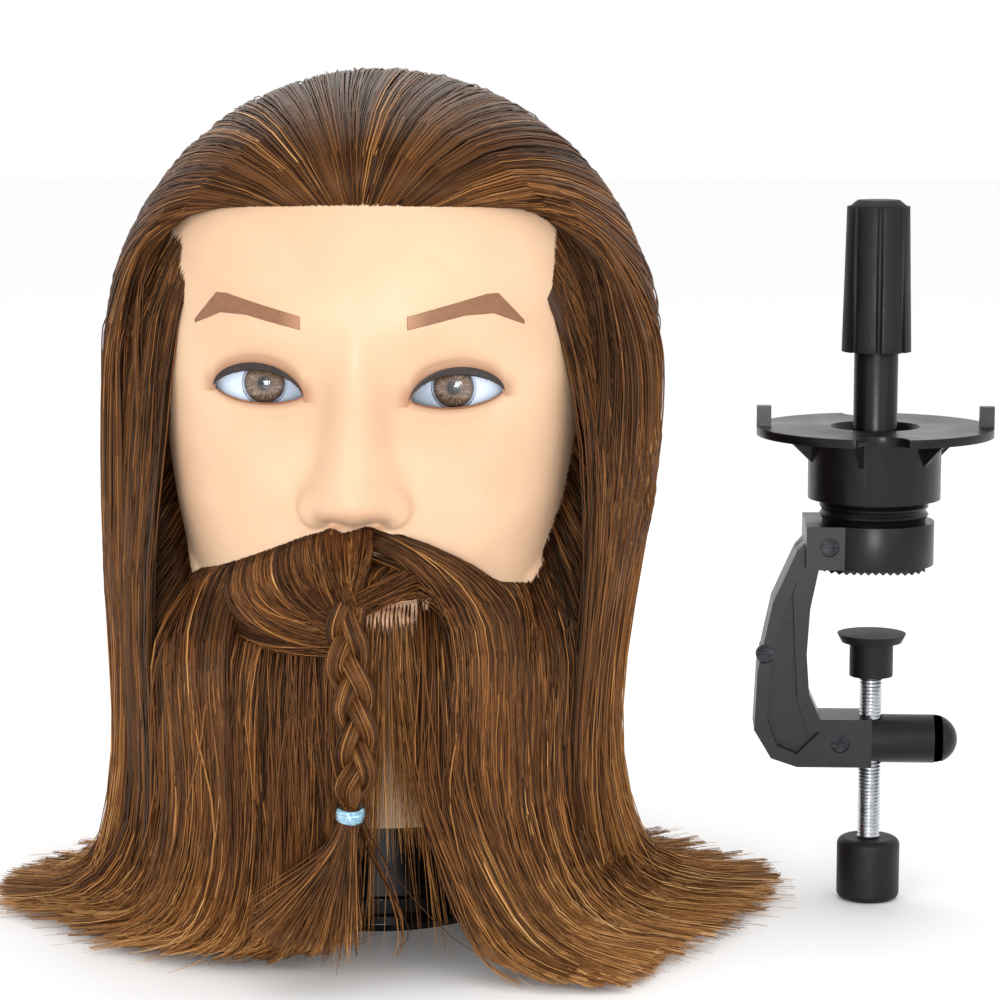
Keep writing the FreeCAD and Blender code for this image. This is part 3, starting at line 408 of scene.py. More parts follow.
def make_skin():
    fine = math.radians(60)
    ahead = np.arcsin(np.linspace(-math.sin(fine), math.sin(fine), 211))
    behind = np.linspace(fine, 2 * math.pi - fine, 92)[1:-1]
    heights = np.concatenate([np.linspace(35, FACE_LOW, 24)[:-1], np.linspace(FACE_LOW, FACE_HIGH, FACE_ROWS),
                              np.linspace(FACE_HIGH, 281.5, 14)[1:]])
    angle, z = np.meshgrid(np.concatenate([ahead, behind]), heights)
    points = head_surface(angle, z)
    # the row of points nearest each lid's edge is moved onto it
    step = (FACE_HIGH - FACE_LOW) / (FACE_ROWS - 1)
    x, z = points[..., 0], points[..., 2].copy()
    upper, lower = lid_edges(x)
    near_eye = (np.abs(np.abs(x) - LID_X) < EYE_HALF) & (points[..., 1] < 0)
    for line in (upper, lower):
        z = np.where(near_eye & (np.abs(z - line) < step / 2), line, z)
    cell = head_surface(angle, z).reshape(-1, 3)
    faces = grid_faces(*angle.shape, closed=True)
    inside = (near_eye & (z <= upper + 1e-6) & (z >= lower - 1e-6)).ravel()
    faces = faces[~inside[faces].all(1)]
    # the lids' edges turn back onto the eyeball
    edges = np.concatenate([faces[:, [i, (i + 1) % 4]] for i in range(4)])
    key = np.sort(edges, 1)
    _, first, count = np.unique(key[:, 0] * len(cell) + key[:, 1], return_index=True, return_counts=True)
    rim = edges[first[count == 1]]
    rim = rim[inside[rim].all(1)]
    ids, flat = np.unique(rim, return_inverse=True)
    flat = flat.reshape(rim.shape)
    turned = cell[ids] + np.array([0, 2.6, 0])
    middle = sum(lid_edges(cell[ids][:, 0])) / 2
    turned[:, 2] += np.sign(cell[ids][:, 2] - middle) * 0.5
    walls = np.stack([rim[:, 1], rim[:, 0], len(cell) + flat[:, 0], len(cell) + flat[:, 1]], 1)
    points = np.concatenate([cell, turned])
    skin = build("head_skin_face", points, np.concatenate([faces, walls]), [skin_vinyl()],
                 replaces=["head_skin"], slot="skin_vinyl")
    # eyeshadow above the upper lid and a little below the lower one, and a warmer nose, cheeks and lips
    x, z = points[:, 0], points[:, 2]
    upper, lower = lid_edges(x)
    span = np.exp(-((np.abs((np.abs(x) - LID_X) / EYE_HALF) / 1.16) ** 8))
    above = np.exp(-((np.clip(z - upper, 0, None) / 5.0) ** 2.4)) * (z > upper - 2)
    below = 0.7 * np.exp(-((np.clip(lower - z, 0, None) / 1.7) ** 1.5)) * (z < lower + 1)
    blush = 0.12 * hill(np.abs(x), z, 42, 160, 12, 12) + 0.18 * hill(x, z, 0, 153, 10, 6)
    blush += 0.5 * (hill(x, z, 0, 124.5, 15, 3) + hill(x, z, 0, 116, 13, 4))
    blush += 0.35 * hill(np.abs(x), z, LID_X - EYE_HALF, 187, 2.5, 2.5)
    front = points[:, 1] < -20
    point_layer(skin, "eyeshade", np.where(front, np.clip(0.95 * above + below, 0, 0.95) * span, 0))
    point_layer(skin, "blush", np.where(front, blush, 0))


make_skin()

# ---------------------------------------------------------------- eyes, brows and eyeliner


def slab(name, top, sunk, materials, **kw):
    """A thin sheet following a grid of points, closed with the same grid sunk below it."""
    rows, columns = top.shape[:2]
    count = rows * columns
    ring = np.concatenate([np.arange(columns), np.arange(1, rows) * columns + columns - 1,
                           (rows - 1) * columns + np.arange(columns - 2, -1, -1),
                           np.arange(rows - 2, 0, -1) * columns])
    faces = grid_faces(rows, columns)
    after = np.roll(ring, -1)
    walls = np.stack([ring, ring + count, after + count, after], 1)
    points = np.concatenate([top.reshape(-1, 3), sunk.reshape(-1, 3)])
    return build(name, points, np.concatenate([faces, faces[:, ::-1] + count, walls]), materials, **kw)


def eyeball_material():
    """Sclera, limbal ring, streaked iris and pupil, painted by distance from the eye's axis."""
    s = Shader("eyeball")
    where = s.node("ShaderNodeTexCoord").outputs["UV"]
    split = s.node("ShaderNodeSeparateXYZ", Vector=where)
    flat = s.node("ShaderNodeCombineXYZ", X=split.outputs[0], Y=split.outputs[1])
    distance = s.node("ShaderNodeVectorMath", {"operation": "LENGTH"})
    s.put(distance, 0, flat.outputs[0])
    radius = distance.outputs["Value"]
    angle = s.node("ShaderNodeMath", {"operation": "ARCTAN2"})
    s.put(angle, 0, split.outputs[1])
    s.put(angle, 1, split.outputs[0])
    around = s.node("ShaderNodeCombineXYZ", X=angle.outputs[0], Y=radius)
    stretched = s.node("ShaderNodeMapping", Vector=around.outputs[0], Scale=(9, 0.35, 1))
    streak = s.noise_at(stretched.outputs[0], 1.0, 4.0, 0.6)
    iris = s.ramp(streak, (0.3, (78, 54, 40)), (0.5, (134, 104, 80)), (0.7, (186, 160, 132)))
    veins = s.ramp(s.noise(420, 5, 0.7), (0.4, (206, 220, 238)), (0.75, (188, 204, 228)))
    iris = s.blend(s.range(radius, 0.55, 0.0, 2.0, 3.6), iris, srgb(88, 58, 40))
    iris = s.blend(s.range(radius, 0.0, 0.85, 5.1, 6.4), iris, srgb(64, 50, 46))
    iris = s.blend(s.range(radius, 1.0, 0.0, 2.1, 2.5), iris, srgb(6, 5, 5))
    whole = s.blend(s.range(radius, 0.0, 1.0, 6.35, 6.9), iris, veins)
    s.set(Base_Color=whole, Roughness=0.2, Specular_IOR_Level=0.3, Coat_Weight=0.3, Coat_Roughness=0.03,
          Subsurface_Weight=0.05, Subsurface_Scale=0.002)
    return s.material


def cornea_material():
    s = Shader("cornea")
    s.set(Base_Color=srgb(250, 252, 255), Roughness=s.range(s.noise(90), 0.0, 0.02),
          Transmission_Weight=1.0, IOR=1.33)
    return s.material


CORNEA_RADIUS = 7.4


def make_eye(side, word, ball_material, clear):
    looking = side * 0.9 - 0.3
    turn, tilt = np.meshgrid(np.linspace(0, 2 * np.pi, 97)[:-1], np.linspace(0.004, np.pi - 0.004, 72))
    across, up = np.sin(tilt) * np.cos(turn), np.sin(tilt) * np.sin(turn)
    wide, deep, tall = EYE_FORM
    points = np.stack([side * EYE_X + wide * across, -EYE_BACK - deep * np.cos(tilt), EYE_Z + tall * up], -1)
    # the painted iris keeps its distances in millimetres as seen from the front
    gaze = EYE_Z + 0.3 - 0.6 * side
    uv = np.stack([points[..., 0] - side * EYE_X + looking, points[..., 2] - gaze], -1)
    uv = np.where(points[..., 1:2] < -EYE_BACK, uv, 30.0)
    build(f"{word}_eyeball", points.reshape(-1, 3), grid_faces(72, 96, closed=True), [ball_material],
          replaces=[f"{word}_eye", f"{word}_iris"], slot="eye_white", uv=uv.reshape(-1, 2))
    reach, turn = np.meshgrid(np.linspace(0.02, 1, 14), np.linspace(0, 2 * np.pi, 49)[:-1], indexing="ij")
    x = side * EYE_X - looking + CORNEA_RADIUS * reach * np.cos(turn)
    z = gaze + CORNEA_RADIUS * reach * np.sin(turn)
    ball = eye_front(x, z)
    front = np.stack([x, -(ball + 0.06 + 0.75 * np.clip(1 - reach**2, 0, 1) ** 1.5), z], -1)
    back = np.stack([x, -(ball + 0.04), z], -1)
    rings = np.concatenate([front, back[::-1]])
    build(f"{word}_cornea_dome", rings.reshape(-1, 3), grid_faces(28, 48, closed=True), [clear],
          replaces=[f"{word}_cornea"], slot="cornea")


def brow_shape(side, along, across):
    """A brow from its inner end (0) to its outer tip (1), from its lower (0) to its upper (1) edge."""
    low = np.interp(along, [0, 0.5, 0.74, 1], [209.3, 213.7, 214.0, 209.9])
    high = np.interp(along, [0, 0.68, 0.78, 1], [213.7, 220.3, 220.4, 211.2])
    x = side * mix(17.0, 53.5, along)
    return x, mix(low, high, across)


def paint(name, dark, light):
    s = Shader(name)
    s.set(Base_Color=s.ramp(s.noise(300), (0.3, dark), (0.7, light)), Roughness=0.45)
    return s.material


def make_paint():
    brow = Shader("brow_paint")
    tone = brow.ramp(brow.noise(500, 3, 0.6, (1, 1, 3)), (0.3, (122, 80, 54)), (0.7, (136, 93, 64)))
    brow.set(Base_Color=brow.blend(brow.attribute("fade"), tone, srgb(170, 124, 92)), Roughness=0.5)
    liner = paint("eyeliner", (26, 17, 15), (44, 28, 22))
    lower_paint = paint("lower_lid_paint", (112, 66, 38), (140, 88, 52))
    along, across = np.meshgrid(np.linspace(0, 1, 70), np.linspace(0, 1, 12))
    t, across_liner = np.meshgrid(np.linspace(-1, 1, 90), np.linspace(0, 1, 5))
    for side, word in SIDES:
        x, z = brow_shape(side, along, across)
        made = slab(f"{word}_brow", skin_at(x, z, 0.10), skin_at(x, z, -0.15), [brow.material],
                    slot="skin_vinyl")
        point_layer(made, "fade", np.tile(0.8 * ease(0.22, 0.0, along).ravel(), 2))
        swell = (0.25 + 0.75 * np.clip(1 - t**2, 0, 1) ** 0.45) * (1 + 0.2 * t)
        for edge_name, material, reach, thick in (
            ("upper", liner, 1.01, 2.7), ("lower", lower_paint, 0.99, 0.7),
        ):
            x = side * (LID_X + EYE_HALF * t * reach)
            upper, lower = lid_edges(x)
            line = across_liner * thick * swell
            z = upper - 0.15 + line if edge_name == "upper" else lower + 0.1 - line
            slab(f"{word}_{edge_name}_liner", skin_at(x, z, 0.07), skin_at(x, z, -0.3), [material],
                 slot="skin_vinyl")


eyeball, clear = eyeball_material(), cornea_material()
for eye_side, eye_word in SIDES:
    make_eye(eye_side, eye_word, eyeball, clear)
make_paint()

# ---------------------------------------------------------------- hair

# Outline of the hanging hair: height, half width on the wearer's right and left, reach to the front and back
HAIR_LEVELS = np.array([
    (8, 96, 87, 92, 112), (18, 92, 84, 95, 110), (34, 90, 80, 99, 106), (60, 89, 78, 102, 104),
    (90, 91, 82, 105, 104), (106, 95, 86, 106, 105), (125, 96, 92, 106, 107), (145, 95.4, 98, 104, 109),
    (170, 95, 101, 100, 112), (190, 94.5, 97.7, 98, 113),
])
CROWN_START, CROWN_TOP = 190.0, 101.0
MIDDLE = np.array([0, 7.0, CROWN_START])
# Where hair that hangs at a bearing from straight ahead (degrees) ends on the table: bearing, x, y
TIPS_RIGHT = np.array([
    (0, -12, -60), (10, -30, -78), (20, -54, -78), (32, -85, -60), (45, -110, -36), (58, -127, -14),
    (74, -133, 6), (95, -124, 30), (120, -104, 70), (150, -60, 112), (180, 0, 122),
])
TIPS_LEFT = np.array([
    (0, 54, -92), (10, 66, -104), (20, 82, -107), (28, 96, -98), (34, 102, -72), (46, 114, -64),
    (56, 124, -34), (66, 134, -6), (80, 141, 28), (95, 130, 46), (120, 102, 78), (150, 58, 112),
    (180, 0, 122),
])
TABLE_LOW, TABLE_HIGH = (-138, -111), (146, 126)
LOWEST = 0.6
TURN_HEIGHT = 50.0  # where the still under-layers leave the wall for the table
WAVE = 26.0
SHADES = len(HAIR_TONES)
FACES_PER_PIECE = 190_000
# The edge of the bare face, in x and z: up the wearer's right, over the brow, down the left
WINDOW = np.array([
    (-57, 122), (-60, 131), (-64.5, 141), (-68, 150), (-70, 176), (-69, 200), (-63, 208), (-57.5, 216),
    (-55.5, 236), (-55, 243), (-53, 246.6), (-46, 247.4), (0, 248), (50, 247.4), (59, 246.6), (62.5, 242.5),
    (62, 228), (61.2, 215), (64.5, 208), (69, 200), (69.6, 174), (65, 150), (59, 134), (54.5, 121),
])
# The edge of the moustache and beard below the bare face, in x and z
LIP_LINE = np.array([
    (-62, 122), (-55.6, 126.8), (-42, 132.5), (-28, 138.4), (-16, 143.4), (-8, 145.8), (-3.5, 144.6),
    (3, 146.6), (14, 144.3), (27, 138), (38, 130.5), (46, 125.6), (55, 123), (62, 119),
])
PARTING = -3.6


def lip_line(x):
    return np.interp(x, *LIP_LINE.T)


def outline(z, side=0):
    """Half width towards a side, half depth and middle of the hair's outline at a height."""
    low = np.minimum(z, CROWN_START)
    right, left, front, back = (through(HAIR_LEVELS[:, [0, k]], low) for k in (1, 2, 3, 4))
    k = np.sqrt(1 - np.clip((z - CROWN_START) / CROWN_TOP, 0, 0.999) ** 2)
    return np.where(side > 0, left, right) * k, (front + back) / 2 * k, (back - front) / 2


def wall(angle, z, depth):
    """A point of the hair's outer wall at a bearing from straight ahead, sunk by a depth."""
    half, deep, middle = outline(z, np.sin(angle))
    turned = np.degrees(np.abs(angle))
    cheek = np.exp(-(((turned - 50) / 13) ** 2)) * ease(118, 150, z) * ease(214, 196, z)
    temple = np.exp(-(((turned - 45) / 20) ** 2)) * ease(203, 220, z)
    depth = depth + 8.0 * cheek - 4.5 * temple
    half, deep = np.maximum(half - depth, 4), np.maximum(deep - depth, 4)
    reach = 1 / np.sqrt((np.sin(angle) / half) ** 2 + (np.cos(angle) / deep) ** 2)
    return np.stack([reach * np.sin(angle), middle - reach * np.cos(angle), z], -1)


def dome(direction, depth):
    """A point of the crown in a direction from the middle of the head, sunk by a depth."""
    across, along, up = np.moveaxis(direction, -1, 0)
    half, deep, _ = outline(np.array(CROWN_START), across)
    above_brow = ease(0.2, 0.75, -along) * ease(0.15, 0.45, up)
    depth = depth * mix(1, 0.6, ease(0, 0.5, up)) - 6.0 * above_brow
    size = (across / (half - depth)) ** 2 + (along / (deep - depth)) ** 2 + (up / (CROWN_TOP - depth)) ** 2
    return MIDDLE + direction / np.sqrt(size)[..., None]


def tip_spot(bearing):
    """Where hair that hangs at a bearing (radians, + to the wearer's left) ends on the table."""
    turned = np.degrees(np.abs(bearing))
    right, left = (np.stack([through(table[:, [0, k]], turned) for k in (1, 2)], -1)
                   for table in (TIPS_RIGHT, TIPS_LEFT))
    return np.where((bearing < 0)[..., None], right, left)


def left_of_chin(bearing):
    """1 straight ahead and 0 far to the side, on the wearer's left only: there the hair hangs straighter."""
    return np.exp(-((np.degrees(bearing) / 26) ** 2)) * (bearing > 0)


def finish_on_table(start, bearing, length, aside, rise):
    """The last stretch: hair leaves the wall, bends over the table and runs out flat to its tip."""
    run = tip_spot(bearing) - start[:, :2]
    across = unit(np.stack([-run[:, 1], run[:, 0]], -1))
    spot = start[:, :2] + run * length[:, None] + across * aside[:, None]
    spot = np.clip(spot, TABLE_LOW, TABLE_HIGH)
    run = spot - start[:, :2]
    tip = np.concatenate([spot, np.maximum(rise, 1.0)[:, None]], 1)
    inner = left_of_chin(bearing)
    first = start + np.concatenate([(0.12 + 0.38 * inner)[:, None] * run,
                                    -((0.80 - 0.12 * inner) * start[:, 2])[:, None]], 1)
    back = np.minimum(32 - 18 * inner, 0.55 * np.linalg.norm(run, axis=1))
    last = tip - np.concatenate([unit(run) * back[:, None], np.full((len(run), 1), -1.5)], 1)
    curve = bezier(start, first, last, tip, np.linspace(0, 1, 8)[1:])
    curve[..., 2] = np.maximum(curve[..., 2], LOWEST)
    return curve


def soften(path, passes=2, first=1, last=-1):
    """Rounds the bends of each path between its points first and last."""
    last = path.shape[1] - 1 if last < 0 else last
    for _ in range(passes):
        path[:, first:last] = (0.25 * path[:, first - 1:last - 1] + 0.5 * path[:, first:last]
                               + 0.25 * path[:, first + 1:last + 1])
    return path


def pinch(path, lock, amount=0.7):
    """Draws the hairs of each lock together towards their tips, except the loose ones."""
    starts = np.flatnonzero(np.diff(lock["which"], prepend=-1))
    counts = np.diff(np.append(starts, len(path)))
    middle = np.add.reduceat(path, starts, axis=0) / counts[:, None, None]
    s = np.linspace(0, 1, path.shape[1])
    pull = amount * ease(0.5, 1, s)[None, :] * ~lock["loose"][:, None]
    return mix(path, np.repeat(middle, counts, axis=0), pull[..., None])


def skin_bearing(root):
    return np.arctan2(root[:, 0], -(root[:, 1] - MIDDLE[1]))


def swing(angle, sway, fallen, strength):
    """Bearings of hair that waves from side to side as it falls."""
    return angle + np.radians(sway[:, :1]) * np.sin(fallen / WAVE + sway[:, 1:]) * strength


def hang(root, bearing, depth, turn_at, sway, ends, sink, settle=70.0):
    """Hair that leaves the skin at its root and falls down the wall to the table."""
    turn_at = turn_at + 16 * left_of_chin(bearing)
    z = root[:, 2:] + (turn_at[:, None] - root[:, 2:]) * np.linspace(0, 1, 9) ** 1.35
    fallen = root[:, 2:] - z
    angle = mix(skin_bearing(root)[:, None], bearing[:, None], ease(0, settle, fallen))
    angle = swing(angle, sway, fallen, ease(10, 60, fallen))
    reach = np.linalg.norm(root[:, :2] - MIDDLE[:2], axis=1)[:, None]
    at_skin = np.stack([reach * np.sin(angle), MIDDLE[1] - reach * np.cos(angle), z], -1)
    at_skin = np.where(fallen[..., None] < 1e-6, root[:, None], at_skin)
    path = mix(at_skin, wall(angle, z, depth[:, None]), ease(0, sink, fallen)[..., None])
    return soften(np.concatenate([path, finish_on_table(path[:, -1], angle[:, -1], *ends)], 1))


def comb_back(root, bearing, depth, turn_at, sway, ends, begin, lift=24.0):
    """Hair combed back from its root over the crown, then hanging down the wall.

    It begins at a share of the way between its root on the hairline and the crown's edge.
    """
    here = unit(root - MIDDLE)
    there = np.stack([np.sin(bearing), -np.cos(bearing), 0 * bearing], -1)
    span = np.arccos(np.clip((here * there).sum(-1), -1, 1))[:, None]
    begin = begin[:, None]
    t = np.linspace(0, 1, 16) * (1 - begin) + begin
    way = unit(np.sin((1 - t) * span)[..., None] * here[:, None]
               + np.sin(t * span)[..., None] * there[:, None])
    far = np.linalg.norm(dome(way, depth[:, None]) - MIDDLE, axis=-1)
    low = np.where(begin > 0, far[:, :1] - 4.5, np.linalg.norm(root - MIDDLE, axis=1)[:, None])
    gone = (t - begin) * span * 95
    over = MIDDLE + way * mix(low, far, ease(0, lift, gone))[..., None]
    z = CROWN_START + (turn_at[:, None] - CROWN_START) * np.linspace(0, 1, 8)[1:]
    fallen = CROWN_START - z
    angle = swing(bearing[:, None], sway, fallen, ease(0, 60, fallen))
    path = np.concatenate([over, wall(angle, z, depth[:, None])], 1)
    path = np.concatenate([path, finish_on_table(path[:, -1], angle[:, -1], *ends)], 1)
    return soften(path, 9, 9, 25)


def strand_settings(n, per_lock, spread):
    """Locks of hairs, the hairs' depths, and how each falls: where it turns, its sway and its ends."""
    count = max(1, n // per_lock)
    which = np.arange(n) * count // n
    shared = {
        "step": rng.normal(0, spread, count), "deep": rng.uniform(0, 4.2, count),
        "long": 1.0 - 0.42 * rng.uniform(0, 1, count) ** 1.5, "aside": rng.normal(0, 5.5, count),
        "sway": np.stack([rng.normal(0, 1.3, count), rng.uniform(0, 6.3, count)], 1),
        "tone": rng.normal(0, 1.0, count), "turn": rng.uniform(36, 54, count),
        "rise": rng.uniform(1.5, 8.0, count),
    }
    lock = {"which": which, **{k: v[which] for k, v in shared.items()}}
    lock["loose"] = loose = rng.uniform(0, 1, n) < 0.07
    depth = np.clip(lock["deep"] + rng.normal(0, 0.9, n), 0, 7)
    depth = np.where(loose, rng.uniform(-1.2, 0.4, n), depth)
    turn_at = lock["turn"] + rng.normal(0, 2, n)
    sway = lock["sway"] + np.stack([rng.normal(0, 0.15, n) + loose * rng.normal(0, 2.2, n),
                                    rng.normal(0, 0.15, n)], 1)
    length = np.clip(lock["long"] + rng.normal(0, 0.04, n), 0.45, 1.0)
    ends = (length, lock["aside"] + rng.normal(0, 1.6, n) + loose * rng.normal(0, 10, n),
            np.clip(lock["rise"] + rng.normal(0, 1, n), 0.8, 13))
    return lock, depth, (turn_at, sway, ends)


def tubes(path, radius):
    """Closed three-sided tapered tubes along paths (n, m, 3): their points and faces."""
    n, m, _ = path.shape
    along = unit(np.gradient(path, axis=1))
    u = unit(np.cross(along, unit(path - np.array([0, MIDDLE[1], 120.0]))))
    v = np.cross(along, u)
    s = np.linspace(0, 1, m)
    taper = (0.75 + 0.25 * ease(0, 0.1, s)) * (1 - 0.72 * ease(0.55, 1, s))
    turn = np.arange(3) * 2 * np.pi / 3 + rng.uniform(0, 6.3, (n, 1, 1))
    ring = np.cos(turn)[..., None] * u[:, :, None] + np.sin(turn)[..., None] * v[:, :, None]
    points = path[:, :, None] + (radius[:, None] * taper)[:, :, None, None] * ring
    base = (np.arange(n) * m * 3)[:, None, None]
    quads = (base + grid_faces(m, 3, closed=True)).reshape(-1, 4)
    caps = (base + np.stack([np.arange(3)[::-1], (m - 1) * 3 + np.arange(3)])).reshape(-1, 3)
    return points.reshape(-1, 3), quads, caps


def lay_strands(name, path, widths, tone, depth, base, ends_light=3.4, root_dark=0.0, replaces=()):
    """Makes strand pieces that stay under the limit of faces each.

    Every segment gets a shade: darker below the surface, as painted shade, and darker at the root, lighter
    towards the ends.
    """
    n, m, _ = path.shape
    s = np.linspace(0, 1, m - 1)[None]
    # painted shade: hairs sunk deeper below the surface get darker shades
    value = base + 1.1 * tone[:, None] + rng.normal(0, 0.65, (n, 1)) - 0.28 * depth[:, None]
    value = value + ends_light * ease(0.5, 1.0, s) - root_dark * (1 - ease(0, 0.12, s))
    shade = np.clip(np.round(value + rng.normal(0, 0.25, value.shape)), 0, SHADES - 1).astype(int)
    radius = rng.uniform(*widths, n)
    pieces = -(-n // (FACES_PER_PIECE // (6 * (m - 1) + 2)))
    each = -(-n // pieces)
    for part, first in enumerate(range(0, n, each)):
        some = slice(first, first + each)
        points, quads, caps = tubes(path[some], radius[some])
        slots = np.concatenate([np.repeat(shade[some].ravel(), 3), shade[some][:, [0, -1]].ravel()])
        build(f"{name}_{part + 1}", points, [quads, caps], shades, slot_index=slots, slot="hair",
              replaces=replaces if part == 0 else ())


def along_edge(points, at):
    """Points along a broken line, by share of its length."""
    gone = np.concatenate([[0], np.cumsum(np.linalg.norm(np.diff(points, axis=0), axis=1))])
    return np.stack([np.interp(at * gone[-1], gone, column) for column in points.T], -1)


def off_parting(bearing):
    """How far along the brow, from 1 at its end to 0 at its middle, hair combed to a bearing starts."""
    return 1 - np.clip((bearing - 66) / 114, 0, 1) ** 1.25


def top_hair():
    """Everything that is combed back from the hairline and from the crown."""
    for side, word in SIDES:
        n = 2500
        lock, depth, fall = strand_settings(n, 13, 1.6)
        bearing = np.linspace(64, 179.5, n) + lock["step"] + rng.normal(0, 1.0, n)
        bearing = np.clip(bearing, 60, 186)
        x = side * ((54.5 if side < 0 else 61.5) * off_parting(bearing) - 1.5) + rng.normal(0, 0.5, n)
        top = np.interp(np.abs(x), [0, 50, 54, 57, 62], [247.5, 247.3, 246.8, 245.2, 241])
        root = skin_at(np.clip(x, -56, 62.5), top + np.abs(rng.normal(0, 1.6, n)), -0.4)
        path = pinch(comb_back(root, side * np.radians(bearing), depth, *fall, np.zeros(n)), lock)
        lay_strands(f"{word}_combed_hair", path, (0.24, 0.36), lock["tone"], depth, 3.4,
                    replaces=["crown_hair"] if side < 0 else [])
        n = 1700
        lock, depth, fall = strand_settings(n, 13, 1.6)
        bearing = np.linspace(58, 181, n) + lock["step"] + rng.normal(0, 1.4, n)
        root = skin_at(side * (1 + 58.5 * off_parting(bearing)), np.full(n, 247.5), -0.4)
        path = comb_back(root, side * np.radians(bearing), depth, *fall, rng.uniform(0.04, 0.75, n))
        lay_strands(f"{word}_crown_strands", pinch(path, lock), (0.24, 0.38), lock["tone"], depth, 3.2,
                    replaces=["back_hair", "back_hair_fan"] if side < 0 else [])


def side_hair():
    """Hair rooted beside the face, from the temples down to the jaw."""
    for (side, word), (low, high, corner) in zip(SIDES, ((0.0, 0.355, 1), (0.645, 1.0, 0))):
        n = 2600
        lock, depth, fall = strand_settings(n, 12, 1.5)
        share = np.where(rng.uniform(0, 1, n) < 0.3, np.abs(corner - 0.2 * rng.uniform(0, 1, n)),
                         rng.uniform(0, 1, n))
        spot = along_edge(WINDOW, low + (high - low) * share)
        spot = spot[np.argsort(spot[:, 1])]
        back = rng.exponential(2.4, n)
        root = skin_at(spot[:, 0] + side * np.minimum(back, 5), spot[:, 1], -0.4)
        root[:, 1] += np.clip(back - 5, 0, 30)
        least, fan = (np.interp(spot[:, 1], [125, 195, 215, 245], turns)
                      for turns in ([1, 3, 7, 9], [12, 18, 20, 22]))
        start = np.degrees(np.abs(skin_bearing(root)))
        bearing = start + least + fan * rng.uniform(0, 1, n) + 0.8 * back + lock["step"]
        bearing = np.clip(bearing, 34, 120)
        path = hang(root, side * np.radians(bearing), np.clip(depth - 0.6, 0, 7), *fall, sink=34, settle=45)
        # painted shade and highlight: hair hanging close beside the face is darker, as painted shade, and
        # hair hanging far out to the side is lighter, as a painted highlight
        tone = lock["tone"] + np.interp(bearing, [45, 62, 85, 105], [-1.3, -0.8, 0.3, 1.0])
        lay_strands(f"{word}_side_strands", pinch(path, lock, 0.5), (0.24, 0.36), tone, depth, 3.7,
                    replaces=[f"{word}_side_hair", f"{word}_hair_fan"])


def beard():
    """Straight hair below the jaw line; it is thin to the wearer's left of the chin."""
    for side, word in SIDES:
        n = 2600
        lock, depth, fall = strand_settings(n, 12, 1.0)
        x = side * (1.5 + 56 * np.linspace(0, 1, n) ** (1.0 if side < 0 else 0.72)) + rng.normal(0, 0.5, n)
        if side > 0:
            x = np.where(x < 20, x + rng.uniform(17, 34, n), x)
        root = skin_at(np.clip(x, -59, 58), rng.uniform(92, 124, n), -0.4)
        bearing = skin_bearing(root) * 1.02 + np.radians(lock["step"] * 1.2) * np.clip(np.abs(x) / 20, 0, 1)
        path = hang(root, bearing, depth, *fall, sink=18, settle=50)
        lay_strands(f"{word}_beard_strands", pinch(path, lock), (0.24, 0.36), lock["tone"], depth, 3.2,
                    replaces=[f"{word}_beard"])


def chin_veil():
    """Thin hair over the neck beside the plait, from rows of implanted roots."""
    n = 520
    row = 120.5 - 3.0 * rng.integers(0, 6, n)
    x = 2.5 + 1.25 * rng.integers(0, 15, n) + rng.normal(0, 0.12, n)
    root = skin_at(x, row + rng.normal(0, 0.25, n), -0.3)
    far = rng.uniform(0, 1, n) < 0.12
    low = np.where(far, rng.uniform(4, 20, n), rng.uniform(36, 74, n))
    spread = np.where(x < 11, -1, 1) * np.where(far, 1.5, 1.0)
    goal = x + rng.normal(0, 1.5, n) + spread * rng.uniform(0, 9, n)
    t = np.linspace(0, 1, 14)[None]
    z = root[:, 2:] + (low[:, None] - root[:, 2:]) * t**1.2
    px = x[:, None] + (goal - x)[:, None] * t**1.6 + 0.8 * np.sin(5 * t + rng.uniform(0, 6.3, (n, 1))) * t
    off = rng.uniform(0.5, 5, (n, 1))
    plumb = np.minimum.accumulate(skin_at(px, z, 0.4)[..., 1], axis=1) - off * ease(0, 0.5, t)
    path = np.stack([px, np.maximum(plumb, -100), z], -1)
    path[:, 0] = root
    lay_strands("chin_veil", path, (0.12, 0.2), rng.normal(0.8, 0.9, n), np.zeros(n), 3.6, 1.5, 3.0)


def front_point(x, z, depth):
    """The wall of the beard straight ahead of a place on the face."""
    half, deep, middle = outline(z, x)
    room = np.clip(1 - (x / (half - depth)) ** 2, 0.02, 1)
    return np.stack([x, middle - (deep - depth) * np.sqrt(room), z], -1)


